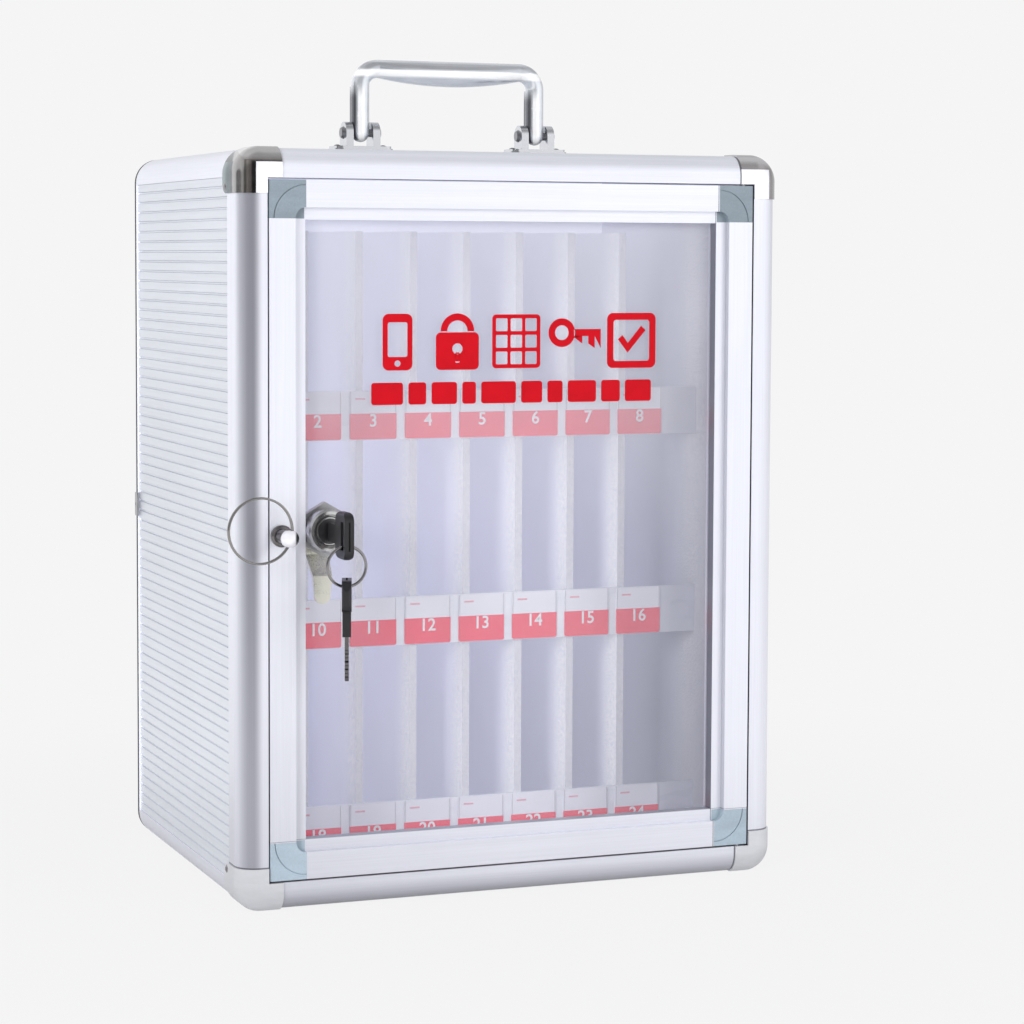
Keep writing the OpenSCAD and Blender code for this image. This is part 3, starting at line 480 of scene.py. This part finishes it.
def foam_board(name, settings):
    """Light foamed board with painted light and shade: lighter and speckled towards the front, darker deep in a
    pocket, painted shade on its cut fronts and on the right side towards the front, and a painted glow.
    """
    finish = Finish(name)
    x, y, z = finish.axes()
    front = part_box("rack_shelves")[0].y
    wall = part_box("rack_side_right")[0].x
    cell = finish.cells(700.0)
    lump = finish.noise(520.0, 3.0, 0.65)
    broad = finish.noise(20.0, 2.0)
    # Painted light: the front zone of each pocket is lit, its depth left in shade
    lit_front = 1.0 - (y + (broad - 0.5) * 0.01).smooth(front + 0.003, front + 0.026)
    speck = (cell * 0.5 + lump * 0.8).smooth(0.4, 0.85)
    shaded_depth = finish.mix(broad.smooth(0.3, 0.7), shade(settings.foam, 0.94), settings.foam)
    bright = finish.mix(speck, settings.foam_lit_front, WHITE)
    plain = finish.mix(lit_front, shaded_depth, bright)
    # Painted shade on the cut fronts, and a painted shadow on the right side towards the front
    cut = (y < front + NEAR) * (abs(x) < wall - 0.001)
    shaded_cuts = finish.mix(cut * 0.62, plain, (0.50, 0.51, 0.60))
    side = (x > wall - NEAR) * (1.0 - y.smooth(front - 0.01, front + 0.09))
    colour = finish.mix(side * (0.68 - z.smooth(0.03, 0.33) * 0.32), shaded_cuts, (0.20, 0.21, 0.28))
    # Painted glow, stronger in the middle tier and towards the left, faint in the lit front zone and none on the
    # shaded side
    middle = z.smooth(0.02, 0.15) * (1.0 - z.smooth(0.19, 0.31))
    glow = (0.29 + middle * 0.13) * (1.12 - x.smooth(-0.12, 0.13) * 0.5) * (1.0 - lit_front * 0.7) * (1.0 - side)
    return finish.surface(
        Base_Color=colour,
        Roughness=0.62 + lump * 0.2,
        Normal=finish.bump(speck * lit_front, 0.3, 0.0006),
        Specular_IOR_Level=0.3,
        Emission_Color=finish.mix(glow * settings.foam_painted_glow, BLACK, (0.88, 0.88, 0.93)),
        Emission_Strength=1.0,
    )


def lined_board(name, colour, lining):
    """Dense board with a faint rolled texture, and a pale lining inside the case, which carries a painted glow."""
    finish = Finish(name)
    x, y, z = finish.axes()
    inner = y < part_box("back_panel")[0].y + NEAR
    grain = finish.noise(900.0, 3.0)
    broad = finish.noise((30.0, 30.0, 9.0), 2.0)
    tone = (grain * 0.5 + broad * 0.5).smooth(0.3, 0.7)
    outside = finish.mix(tone, shade(colour, 0.88), shade(colour, 1.1))
    within = finish.mix(tone, shade(lining, 0.95), lining)
    return finish.surface(
        Base_Color=finish.mix(inner, outside, within),
        # Painted glow on the inner face
        Emission_Color=finish.mix(inner * 0.3, BLACK, within),
        Emission_Strength=1.0,
        Roughness=0.52 + grain * 0.16,
        Normal=finish.bump(grain, 0.12, 0.0002),
    )


def moulded_plastic(name, colour, roughness=0.38, grain_size=1500.0, wear=0.12):
    """Injection moulded plastic: a fine spark texture, and shinier where hands rub it."""
    finish = Finish(name)
    grain = finish.noise(grain_size, 2.0, 0.6)
    rubbed = finish.noise(90.0, 3.0, 0.6)
    flow = finish.noise((45.0, 45.0, 140.0), 2.0)
    return finish.surface(
        Base_Color=finish.mix((flow * 0.6 + grain * 0.4).smooth(0.32, 0.68), shade(colour, 0.9), shade(colour, 1.08)),
        Roughness=(roughness - wear / 2) + rubbed * wear,
        Normal=finish.bump(grain, 0.14, 0.00015),
    )


def printed_card(name, settings):
    """Card behind film: white above, a red band below, hairlines at the sides and a short rule for the name."""
    finish = Finish(name)
    x, y, z = finish.axes()
    height = (z - settings.strip_low) % settings.tier
    across = ((x - settings.card_first + settings.card_pitch / 2) % settings.card_pitch) - settings.card_pitch / 2
    fibre = finish.noise(1400.0, 3.0)
    cloud = finish.noise(60.0, 2.0)
    band = 1.0 - height.smooth(settings.band - 0.00015, settings.band + 0.00015)
    edge = (abs(across) > settings.card_width / 2 - 0.0006) * (abs(across) < settings.card_width / 2 - 0.0002)
    rule = (abs(across + 0.0068) < 0.0026) * (abs(height - 0.0205) < 0.00045)
    paper = finish.mix((fibre * 0.6 + cloud * 0.4).smooth(0.3, 0.7), shade(settings.paper, 0.95), settings.paper)
    red = finish.mix((fibre * 0.5 + cloud * 0.5).smooth(0.3, 0.7), shade(settings.band_red, 0.92), settings.band_red)
    lined = finish.mix(edge * 0.5, paper, (0.25, 0.24, 0.27))
    ruled = finish.mix(rule * (0.35 + fibre * 0.5), lined, (0.75, 0.12, 0.2))
    return finish.surface(
        Base_Color=finish.mix(band, ruled, red),
        Roughness=0.34 + fibre * 0.16,
        Normal=finish.bump(fibre, 0.05, 0.0001),
    )


def film_strip(name):
    """Clear-faced label holder over a pale board, with painted shade towards its right end."""
    finish = Finish(name)
    fibre = finish.noise((1200.0, 1200.0, 300.0), 3.0)
    ripple = finish.noise((26.0, 26.0, 90.0), 2.0)
    x, y, z = finish.axes()
    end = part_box("label_strips")[1].x
    pale = finish.mix((fibre * 0.4 + ripple * 0.6).smooth(0.3, 0.7), (0.78, 0.80, 0.89), (0.86, 0.88, 0.95))
    return finish.surface(
        # Painted shade: darker towards the right end
        Base_Color=finish.mix(x.smooth(end - 0.034, end - 0.008) * 0.7, pale, (0.36, 0.37, 0.47)),
        Roughness=0.2 + ripple * 0.2,
        Normal=finish.bump(ripple, 0.12, 0.0004),
    )


def clear_acrylic(name, settings):
    """Clear panel: the veil is thin seen straight on and thicker at a slant, with a few dust specks."""
    finish = Finish(name)
    facing = finish.node("ShaderNodeLayerWeight", {}, {"Blend": 0.22})
    slant = Value(finish, facing.outputs["Fresnel"])
    dust = finish.noise(2400.0, 1.0).smooth(0.76, 0.82)
    haze = finish.noise((7.0, 7.0, 5.0), 2.0)
    x, y, z = finish.axes()
    # Painted reflection: the whitish veil is thicker towards the top
    upper = z.smooth(0.13, 0.34)
    return finish.surface(
        Base_Color=finish.mix(haze.smooth(0.3, 0.7), (0.86, 0.86, 0.93), (0.93, 0.94, 0.98)),
        Roughness=0.05 + haze * 0.05,
        Alpha=(settings.veil + upper * 0.16 + slant * 0.25 + haze * 0.05 + dust * 0.12).clamped(),
        Specular_IOR_Level=0.6,
    )


def print_ink(name, colour):
    """Screen-printed ink, a little uneven."""
    finish = Finish(name)
    screen = finish.noise(2200.0, 2.0)
    cloud = finish.noise(120.0, 2.0)
    return finish.surface(
        Base_Color=finish.mix((screen * 0.5 + cloud * 0.5).smooth(0.3, 0.7), shade(colour, 0.9), shade(colour, 1.06)),
        Roughness=0.42 + screen * 0.16,
        Normal=finish.bump(screen, 0.08, 0.00008),
        Specular_IOR_Level=0.2,
    )


# Settings


def colour_setting(name, description, default):
    return FloatVectorProperty(
        name=name, description=description, subtype="COLOR", size=3, min=0, max=1, default=default)


def length_setting(name, description, default):
    return FloatProperty(
        name=name, description=description, subtype="DISTANCE", unit="LENGTH", default=default)


def share_setting(name, description, default):
    return FloatProperty(name=name, description=description, subtype="FACTOR", default=default, min=0, max=1)


def angle_setting(name, description, degrees):
    return FloatProperty(
        name=name, description=description, subtype="ANGLE", unit="ROTATION", default=math.radians(degrees))


class LOCKER_PG_looks(bpy.types.PropertyGroup):
    aluminium: colour_setting(
        "Aluminium", "Colour of the anodised frame, rails and door members", (0.85, 0.86, 0.94))
    sheet: colour_setting("Side sheet", "Colour of the ribbed and plain side sheets", (0.84, 0.87, 0.93))
    foam: colour_setting(
        "Foam board", "Colour of the rack's boards, deep in the pockets", (0.68, 0.69, 0.82))
    # Lighter colour of the boards towards the front of the pockets: painted light
    foam_lit_front: colour_setting("Foam skin", "Colour of the rack's boards towards the front", (0.82, 0.83, 0.92))
    # Strength of the foam's painted glow, an emission that lightens the shaded pockets
    foam_painted_glow: share_setting(
        "Foam glow", "Share of the light that the foam passes on from its other side", 0.5)
    corner: colour_setting("Corner blocks", "Colour of the door's moulded corner blocks", (0.30, 0.365, 0.42))
    paper: colour_setting("Card", "Colour of the number cards above their band", (0.84, 0.85, 0.93))
    band_red: colour_setting("Card band", "Colour of the band on the number cards", (0.95, 0.10, 0.165))
    ink: colour_setting("Door print", "Colour of the marks on the clear panel", (0.55, 0.0, 0.008))
    strip_low: length_setting(
        "Lowest strip", "Height of the lowest label strip above the underside",
        round(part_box("label_strips")[0].z, 5))
    tier: length_setting("Tier", "Height of one tier of pockets", 0.1037)
    band: length_setting("Band height", "Height of the coloured band on a card", 0.0132)
    card_first: length_setting("First card", "Middle of the leftmost card", -0.1085)
    card_pitch: length_setting("Card pitch", "Distance between two cards", 0.029)
    card_width: length_setting("Card width", "Width of a card", 0.0244)
    digit: length_setting("Digit size", "Size of the type of the card numbers", 0.0088)
    cards: IntProperty(name="Cards in a row", description="Cards on one label strip", default=8, min=1)
    tiers: IntProperty(name="Tiers", description="Rows of pockets", default=3, min=1)
    veil: share_setting("Panel veil", "How much the clear panel whitens what is behind it", 0.05)


class LOCKER_PG_studio(bpy.types.PropertyGroup):
    camera_place: FloatVectorProperty(
        name="Camera", description="Place of the camera", subtype="TRANSLATION", unit="LENGTH",
        default=(-0.4929, -1.34905, 0.30934))
    yaw: angle_setting("Yaw", "Turn of the camera from straight back towards the right", 21.3975)
    pitch: angle_setting("Pitch", "Tilt of the camera above the level", -4.0121)
    roll: angle_setting("Roll", "Roll of the camera", 0.2375)
    focal: FloatProperty(
        name="Focal length", description="Focal length in pixels of a picture 1024 wide", default=2793.83)
    shift: FloatProperty(name="Shift", description="Vertical shift of the lens", default=-60 / 1024)
    backdrop: colour_setting("Backdrop", "Colour of the background and the floor", (0.913, 0.913, 0.913))
    world_level: FloatProperty(name="World light", description="Strength of the soft light all round", default=0.6)
    key_power: FloatProperty(
        name="Key lamp", description="Power of the soft lamp at the front left", unit="POWER", default=24.0)
    fill_power: FloatProperty(
        name="Fill lamp", description="Power of the soft lamp at the front right", unit="POWER", default=10.0)


# Helpers for making pieces


def dress(material, *names):
    for name in names:
        piece = NODES[name]
        piece.data.materials.clear()
        piece.data.materials.append(material)


def stand_up(mesh, front):
    """Turns a mesh drawn flat in XY so that it stands in XZ, facing the front, with its back at that depth."""
    for vertex in mesh.vertices:
        u, v, w = vertex.co
        vertex.co = (u, front - w, v)


def link_piece(name, mesh, material, body):
    piece = bpy.data.objects.new(name, mesh)
    bpy.context.scene.collection.objects.link(piece)
    mesh.materials.clear()
    mesh.materials.append(material)
    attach(piece, body)
    return piece


def flat_mesh(name, loops, thick):
    """A thin plate from closed outlines in XY, where an outline inside another is a hole."""
    curve = bpy.data.curves.new(name, "CURVE")
    curve.dimensions = "2D"
    curve.fill_mode = "BOTH"
    curve.extrude = thick / 2
    for loop in loops:
        spline = curve.splines.new("POLY")
        spline.points.add(len(loop) - 1)
        for point, (x, y) in zip(spline.points, loop):
            point.co = (x, y, 0.0, 1.0)
        spline.use_cyclic_u = True
    return to_mesh(name, curve, thick)


def to_mesh(name, curve, thick):
    """The mesh of a flat curve or text, welded, with its back in the plane of the drawing."""
    holder = bpy.data.objects.new(name, curve)
    bpy.context.scene.collection.objects.link(holder)
    bpy.context.view_layer.update()
    graph = bpy.context.evaluated_depsgraph_get()
    mesh = bpy.data.meshes.new_from_object(holder.evaluated_get(graph))
    bpy.data.objects.remove(holder)
    work = bmesh.new()
    work.from_mesh(mesh)
    bmesh.ops.remove_doubles(work, verts=work.verts, dist=1e-6)
    bmesh.ops.recalc_face_normals(work, faces=work.faces)
    bmesh.ops.translate(work, verts=work.verts, vec=(0, 0, thick / 2))
    work.to_mesh(mesh)
    work.free()
    mesh.name = name
    return mesh


def arc(cx, cy, r, start, end, steps=16):
    return [
        (cx + r * math.cos(math.radians(start + (end - start) * i / steps)),
         cy + r * math.sin(math.radians(start + (end - start) * i / steps)))
        for i in range(steps + 1)
    ]


def disc(cx, cy, r, steps=36):
    return arc(cx, cy, r, 0, 360 * (steps - 1) / steps, steps - 1)


def soft_box(cx, cy, w, h, r):
    """Outline of a rectangle with round corners."""
    out = []
    for sx, sy, start in ((1, 1, 0), (-1, 1, 90), (-1, -1, 180), (1, -1, 270)):
        out += arc(cx + sx * (w / 2 - r), cy + sy * (h / 2 - r), r, start, start + 90, 6)
    return out


# Pieces


class LOCKER_OT_case(bpy.types.Operator):
    """Finishes the case's sheets, rails, back board and screws"""
    bl_idname = "locker.case"
    bl_label = "Case"

    def execute(self, context):
        looks = context.scene.locker_looks
        dress(drawn_aluminium("plain_sheet", looks.sheet, "y", 0.38, lined=True), "bottom_panel", "top_panel")
        dress(drawn_aluminium("ribbed_sheet", looks.sheet, "y", 0.36, shades=upper_shade),
              "left_side_panel", "right_side_panel")
        dress(drawn_aluminium("rail_anodising", looks.aluminium, "y", 0.32),
              "rail_bottom_left", "rail_bottom_right", "rail_top_left", "rail_top_right")
        dress(lined_board("dark_back_board", (0.045, 0.045, 0.05), (0.84, 0.85, 0.94)), "back_panel")
        dress(turned_steel("zinc_screws", (0.62, 0.62, 0.64)), "back_screws")
        dress(turned_steel("clip_steel", (0.5, 0.5, 0.52)), "rear_clip")
        return {"FINISHED"}


class LOCKER_OT_front_frame(bpy.types.Operator):
    """Finishes the mitred front frame, its corner caps and their rivets"""
    bl_idname = "locker.front_frame"
    bl_label = "Front frame and caps"

    def execute(self, context):
        looks = context.scene.locker_looks
        lower_cap, right_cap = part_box("cap_bottom_right")[1].z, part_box("cap_top_right")[0].x
        # Width of the painted shadow lines beside the caps' edges
        line = 0.0006
        dress(drawn_aluminium("frame_upright_anodising", looks.aluminium, "z", gap=True,
                              shadow_lines=[("z", lower_cap, lower_cap + line)], shades=round_shade),
              "frame_left", "frame_right")
        dress(drawn_aluminium("frame_cross_anodising", looks.aluminium, "x", gap=True,
                              shadow_lines=[("x", right_cap - line, right_cap)], shades=round_shade),
              "frame_top", "frame_bottom")
        dress(cap_with_painted_reflections("left_cap_plating_painted_reflections", "cap_top_left", LEFT_CAP_PAINTED_REFLECTIONS), "cap_top_left")
        dress(cap_with_painted_reflections("right_cap_plating_painted_reflections", "cap_top_right", RIGHT_CAP_PAINTED_REFLECTIONS), "cap_top_right")
        dress(bright_plating("lower_cap_plating", (0.88, 0.89, 0.93), 0.34, 0.1, 0.7),
              "cap_bottom_left", "cap_bottom_right")
        dress(turned_steel("rivet_steel", (0.42, 0.40, 0.42), 0.26), "cap_rivets")
        dress(turned_steel("hinge_steel", (0.55, 0.55, 0.57)), "hinge_pins")
        return {"FINISHED"}


class LOCKER_OT_handle(bpy.types.Operator):
    """Finishes the folding handle, its two brackets, pins and screws"""
    bl_idname = "locker.handle"
    bl_label = "Handle"

    def execute(self, context):
        dress(handle_plating_painted_reflections("handle_plating_painted_reflections"), "handle_grip")
        dress(bright_plating("bracket_plating", (0.74, 0.75, 0.78), 0.13, 0.12, 0.95),
              "handle_bracket_left", "handle_bracket_right")
        dress(turned_steel("pivot_steel", (0.4, 0.4, 0.42)), "handle_pins")
        dress(turned_steel("bracket_screw_steel", (0.3, 0.3, 0.32)), "bracket_screws")
        return {"FINISHED"}


class LOCKER_OT_rack(bpy.types.Operator):
    """Finishes the rack's foam boards, label strips and cards"""
    bl_idname = "locker.rack"
    bl_label = "Rack"

    def execute(self, context):
        looks = context.scene.locker_looks
        dress(foam_board("rack_foam", looks), "rack_side_left", "rack_side_right", "rack_back",
              "rack_shelves", "lower_dividers", "middle_dividers", "upper_dividers")
        dress(film_strip("label_holder"), "label_strips")
        dress(printed_card("number_card_print", looks), "number_cards")
        return {"FINISHED"}


class LOCKER_OT_card_numbers(bpy.types.Operator):
    """Prints the running numbers on the cards, one piece for each tier"""
    bl_idname = "locker.card_numbers"
    bl_label = "Card numbers"

    def execute(self, context):
        looks = context.scene.locker_looks
        ink = print_ink("number_ink", (0.86, 0.86, 0.9))
        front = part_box("number_cards")[0].y
        for tier in range(looks.tiers):
            whole = bmesh.new()
            row = looks.tiers - 1 - tier
            for place in range(looks.cards):
                text = bpy.data.curves.new("number", "FONT")
                text.body = str(row * looks.cards + place + 1)
                text.size = looks.digit
                text.align_x = "CENTER"
                text.align_y = "CENTER"
                text.extrude = INK / 2
                text.offset = 0.00012
                text.resolution_u = 4
                mesh = to_mesh("number", text, INK)
                stand_up(mesh, front)
                middle = Vector((
                    looks.card_first + place * looks.card_pitch, 0,
                    looks.strip_low + tier * looks.tier + looks.band * 0.71))
                mesh.transform(Matrix.Translation(middle))
                whole.from_mesh(mesh)
                bpy.data.meshes.remove(mesh)
            mesh = bpy.data.meshes.new(f"card_numbers_{tier + 1}")
            whole.to_mesh(mesh)
            whole.free()
            link_piece(f"card_numbers_{tier + 1}", mesh, ink, "case")
        return {"FINISHED"}


class LOCKER_OT_door(bpy.types.Operator):
    """Finishes the door's members, corner blocks and clear panel"""
    bl_idname = "locker.door"
    bl_label = "Door"

    def execute(self, context):
        looks = context.scene.locker_looks
        bright = shade(looks.aluminium, 1.02)
        dress(drawn_aluminium("door_stile_anodising", bright, "z", gap=True, shades=reveal_shade),
              "door_stile_left", "door_stile_right")
        dress(drawn_aluminium("door_rail_anodising", bright, "x", gap=True, shades=reveal_shade),
              "door_rail_top", "door_rail_bottom")
        # Painted light and shade: the upper blocks are a shaded copy of the corner colour, the lower blocks a lit
        # copy
        dress(moulded_plastic("upper_block_plastic_painted_shade", shade(looks.corner, 0.79), 0.42),
              "door_corner_top_left", "door_corner_top_right")
        dress(moulded_plastic("lower_block_plastic_painted_light", shade(looks.corner, 1.28), 0.42),
              "door_corner_bottom_left", "door_corner_bottom_right")
        dress(clear_acrylic("clear_panel_acrylic", looks), "door_panel")
        return {"FINISHED"}


class LOCKER_OT_door_print(bpy.types.Operator):
    """Prints a row of plain icons over a row of bars on the clear panel"""
    bl_idname = "locker.door_print"
    bl_label = "Door print"

    def execute(self, context):
        looks = context.scene.locker_looks
        ink = print_ink("door_print_ink", looks.ink)
        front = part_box("door_panel")[0].y
        stroke = 3.4
        icons = [
            [soft_box(0, 0, 15, 27, 3), soft_box(0, 1.2, 15 - 2 * stroke * 0.75, 16.5, 1), disc(0, -10.2, 1.5)],
            [soft_box(0, -4.5, 22, 18, 2.4), disc(0, -3.4, 2.6), soft_box(0, -7.6, 2.2, 5, 0.6),
             arc(0, 5, 8.6, 0, 180, 20) + arc(0, 5, 8.6 - stroke, 180, 0, 20)],
            [soft_box(0, 0, 25, 26, 2)]
            + [soft_box(x, z, 6, 6.2, 0.6) for x in (-7.6, 0, 7.6) for z in (-8, 0, 8)],
            [disc(-6.6, 4, 7), disc(-6.6, 4, 3.6),
             [(-0.2, 5.7), (14, 5.7), (14, -3.6), (10.8, -3.6), (10.8, 2.3), (7.4, 2.3), (7.4, -1.4), (4.2, -1.4),
              (4.2, 2.3), (-0.2, 2.3)]],
            [soft_box(0, 0, 26, 27, 3), soft_box(0, 0, 26 - 2 * stroke, 27 - 2 * stroke, 1.4),
             [(-7.2, 0.6), (-2.0, -6.0), (7.6, 5.0), (5.2, 7.2), (-1.9, -1.2), (-4.8, 2.6)]],
        ]
        bars = [16, 9, 13, 7, 18, 11, 8, 15, 10, 14]
        whole = bmesh.new()
        for index, icon in enumerate(icons):
            middle = (-58.3 + index * 30.4, 268.2)
            self.add(whole, icon, middle, front)
        x = -71.5
        gap = (145.5 - sum(bars)) / (len(bars) - 1)
        for width in bars:
            self.add(whole, [soft_box(width / 2, 0, width, 10.6, 1.4)], (x, 243.6), front)
            x += width + gap
        mesh = bpy.data.meshes.new("door_print")
        whole.to_mesh(mesh)
        whole.free()
        link_piece("door_print", mesh, ink, "door")
        return {"FINISHED"}

    def add(self, whole, loops, middle, front):
        placed = [[((x + middle[0]) * MM, (z + middle[1]) * MM) for x, z in loop] for loop in loops]
        mesh = flat_mesh("mark", placed, INK)
        stand_up(mesh, front)
        whole.from_mesh(mesh)
        bpy.data.meshes.remove(mesh)


class LOCKER_OT_pull(bpy.types.Operator):
    """Finishes the ball knob, its nut and the pull ring"""
    bl_idname = "locker.pull"
    bl_label = "Knob and pull ring"

    def execute(self, context):
        dress(knob_plating_painted_light("knob_plating_painted_light"), "knob")
        dress(turned_steel("nut_steel", (0.6, 0.6, 0.62)), "knob_nut")
        dress(bright_plating("ring_wire", (0.36, 0.35, 0.34), 0.14, 0.2), "pull_ring")
        return {"FINISHED"}


class LOCKER_OT_lock(bpy.types.Operator):
    """Finishes the cam lock: housing, plug, cam and nuts"""
    bl_idname = "locker.lock"
    bl_label = "Cam lock"

    def execute(self, context):
        dress(bright_plating("lock_plating", (0.72, 0.72, 0.72), 0.16, 0.2), "lock_housing")
        dress(turned_steel("plug_steel", (0.12, 0.12, 0.13), 0.3, 0.9), "lock_plug")
        dress(turned_steel("lock_nut_steel", (0.5, 0.5, 0.5)), "lock_nut", "cam_nut")
        dress(bright_plating("cam_zinc", (0.80, 0.79, 0.66), 0.26, 0.2, 0.9), "lock_cam")
        return {"FINISHED"}


class LOCKER_OT_keys(bpy.types.Operator):
    """Finishes both keys and the ring that they hang on"""
    bl_idname = "locker.keys"
    bl_label = "Keys"

    def execute(self, context):
        dress(moulded_plastic("key_head_plastic", (0.014, 0.014, 0.016), 0.34), "key_head", "spare_head")
        dress(turned_steel("key_blade_nickel", (0.22, 0.21, 0.21), 0.26), "key_blade", "spare_blade")
        dress(bright_plating("key_ring_wire", (0.34, 0.33, 0.33), 0.14, 0.2), "keyring")
        return {"FINISHED"}


# Stage


class LOCKER_OT_stage(bpy.types.Operator):
    """Sets the floor, the light all round, the lamps and the camera"""
    bl_idname = "locker.stage"
    bl_label = "Stage"

    def execute(self, context):
        studio = context.scene.locker_studio
        context.scene.view_settings.view_transform = "Standard"
        self.world(context, studio)
        self.floor(context, studio)
        self.lamps(context, studio)
        self.camera(context, studio)
        return {"FINISHED"}

    def world(self, context, studio):
        world = bpy.data.worlds.new("studio_light")
        world.use_nodes = True
        context.scene.world = world
        light = Finish("studio_light", world.node_tree)
        direction = light.node("ShaderNodeTexCoord").outputs["Generated"]

        def towards(x, y, z):
            aim = Vector((x, y, z)).normalized()
            node = light.node("ShaderNodeVectorMath", {"operation": "DOT_PRODUCT"}, {0: direction, 1: tuple(aim)})
            return Value(light, node.outputs["Value"])

        front = towards(0.72, -0.69, 0.06).smooth(0.6, 0.98)
        back_left = towards(-0.3, 0.95, -0.12).smooth(0.4, 0.95)
        camera_flag = towards(-0.5, -0.866, 0.0).smooth(0.62, 0.9)
        left_flag = towards(-1.0, 0.05, 0.0).smooth(0.93, 0.985)
        top_flag = towards(0.0, -0.45, 0.9).smooth(0.76, 0.97)
        level = studio.world_level * (1.0 + front * 0.72 + back_left * 0.62)
        level = level * (1.0 - camera_flag * 0.6) * (1.0 - left_flag * 0.8) * (1.0 - top_flag * 0.45)
        rays = light.node("ShaderNodeLightPath")
        soft = light.node("ShaderNodeBackground", {}, {"Color": (0.98, 0.985, 1.0, 1.0), "Strength": level})
        plain = light.node("ShaderNodeBackground", {}, {"Color": (*studio.backdrop, 1.0), "Strength": 1.0})
        seen = light.node("ShaderNodeMixShader", {}, {
            0: rays.outputs["Is Camera Ray"], 1: soft.outputs[0], 2: plain.outputs[0]})
        light.node("ShaderNodeOutputWorld", {}, {"Surface": seen.outputs[0]})

    def floor(self, context, studio):
        reach = 6.0
        mesh = bpy.data.meshes.new("floor")
        mesh.from_pydata(
            [(-reach, -reach, 0), (reach, -reach, 0), (reach, reach, 0), (-reach, reach, 0)], [], [(0, 1, 2, 3)])
        floor = bpy.data.objects.new("floor", mesh)
        context.scene.collection.objects.link(floor)
        floor.location.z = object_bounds()[0][2] - 0.0002
        paint = Finish("floor_paper")
        x, y, z = paint.axes()
        far = (x * x + y * y).power(0.5)
        fibre = paint.noise(300.0, 2.0)
        rays = paint.node("ShaderNodeLightPath")
        mirrored = Value(paint, rays.outputs["Is Glossy Ray"])
        seen = Value(paint, rays.outputs["Is Camera Ray"]) + Value(paint, rays.outputs["Is Transmission Ray"])
        strength = 1.0 - mirrored * (0.5 - far.smooth(0.1, 0.44) * 0.46)
        glow = paint.node("ShaderNodeEmission", {}, {"Color": (*studio.backdrop, 1.0), "Strength": strength})
        matt = paint.node("ShaderNodeBsdfDiffuse", {}, {"Color": (0.84, 0.84, 0.85, 1.0)})
        catch = 1.0 - far.smooth(0.16, 0.55)
        share = 1.0 - catch * (0.05 + fibre * 0.02)
        looked = paint.node("ShaderNodeMixShader", {}, {0: share, 1: matt.outputs[0], 2: glow.outputs[0]})
        out = paint.node("ShaderNodeMixShader", {}, {
            0: (seen + mirrored).clamped(), 1: matt.outputs[0], 2: looked.outputs[0]})
        paint.node("ShaderNodeOutputMaterial", {}, {"Surface": out.outputs[0]})
        mesh.materials.append(paint.material)
        floor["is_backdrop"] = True

    def lamps(self, context, studio):
        middle = Vector((0.0, 0.0, 0.18))
        for name, place, size, power in (
            ("key", (-1.45, -1.2, 0.65), 0.7, studio.key_power),
            ("fill", (1.1, -1.6, 0.7), 0.9, studio.fill_power),
        ):
            lamp = bpy.data.lights.new(name, "AREA")
            lamp.shape = "SQUARE"
            lamp.size = size
            lamp.energy = power
            holder = bpy.data.objects.new(name, lamp)
            context.scene.collection.objects.link(holder)
            holder.location = place
            holder.visible_glossy = False
            holder.rotation_euler = (middle - Vector(place)).to_track_quat("-Z", "Y").to_euler()

    def camera(self, context, studio):
        yaw, pitch, roll = studio.yaw, studio.pitch, studio.roll
        ahead = Vector((math.sin(yaw) * math.cos(pitch), math.cos(yaw) * math.cos(pitch), math.sin(pitch)))
        level = Vector((math.cos(yaw), -math.sin(yaw), 0.0))
        up = level.cross(ahead)
        right = math.cos(roll) * level + math.sin(roll) * up
        up = -math.sin(roll) * level + math.cos(roll) * up
        data = bpy.data.cameras.new("camera")
        data.sensor_fit = "HORIZONTAL"
        data.sensor_width = 36.0
        data.lens = studio.focal / 1024 * data.sensor_width
        data.shift_y = studio.shift
        data.clip_start = 0.01
        data.clip_end = 50.0
        camera = bpy.data.objects.new("camera", data)
        context.scene.collection.objects.link(camera)
        turn = Matrix((right, up, -ahead)).transposed().to_4x4()
        camera.matrix_world = Matrix.Translation(studio.camera_place) @ turn
        context.scene.camera = camera


class LOCKER_PT_panel(bpy.types.Panel):
    bl_label = "Phone locker box"
    bl_idname = "LOCKER_PT_panel"
    bl_space_type = "VIEW_3D"
    bl_region_type = "UI"
    bl_category = "Locker"

    def draw(self, context):
        for operator in OPERATORS:
            self.layout.operator(operator.bl_idname)
        for settings in (context.scene.locker_looks, context.scene.locker_studio):
            box = self.layout.box()
            for name in settings.__annotations__:
                box.prop(settings, name)


OPERATORS = (
    LOCKER_OT_stage, LOCKER_OT_case, LOCKER_OT_front_frame, LOCKER_OT_handle, LOCKER_OT_rack,
    LOCKER_OT_card_numbers, LOCKER_OT_door, LOCKER_OT_door_print, LOCKER_OT_pull, LOCKER_OT_lock, LOCKER_OT_keys,
)
CLASSES = (LOCKER_PG_looks, LOCKER_PG_studio, *OPERATORS, LOCKER_PT_panel)


def register():
    for kind in CLASSES:
        bpy.utils.register_class(kind)
    bpy.types.Scene.locker_looks = PointerProperty(type=LOCKER_PG_looks)
    bpy.types.Scene.locker_studio = PointerProperty(type=LOCKER_PG_studio)


def unregister():
    del bpy.types.Scene.locker_studio
    del bpy.types.Scene.locker_looks
    for kind in reversed(CLASSES):
        bpy.utils.unregister_class(kind)


def main():
    register()
    for operator in OPERATORS:
        group, name = operator.bl_idname.split(".")
        getattr(getattr(bpy.ops, group), name)()


if __name__ == "__main__":
    main()
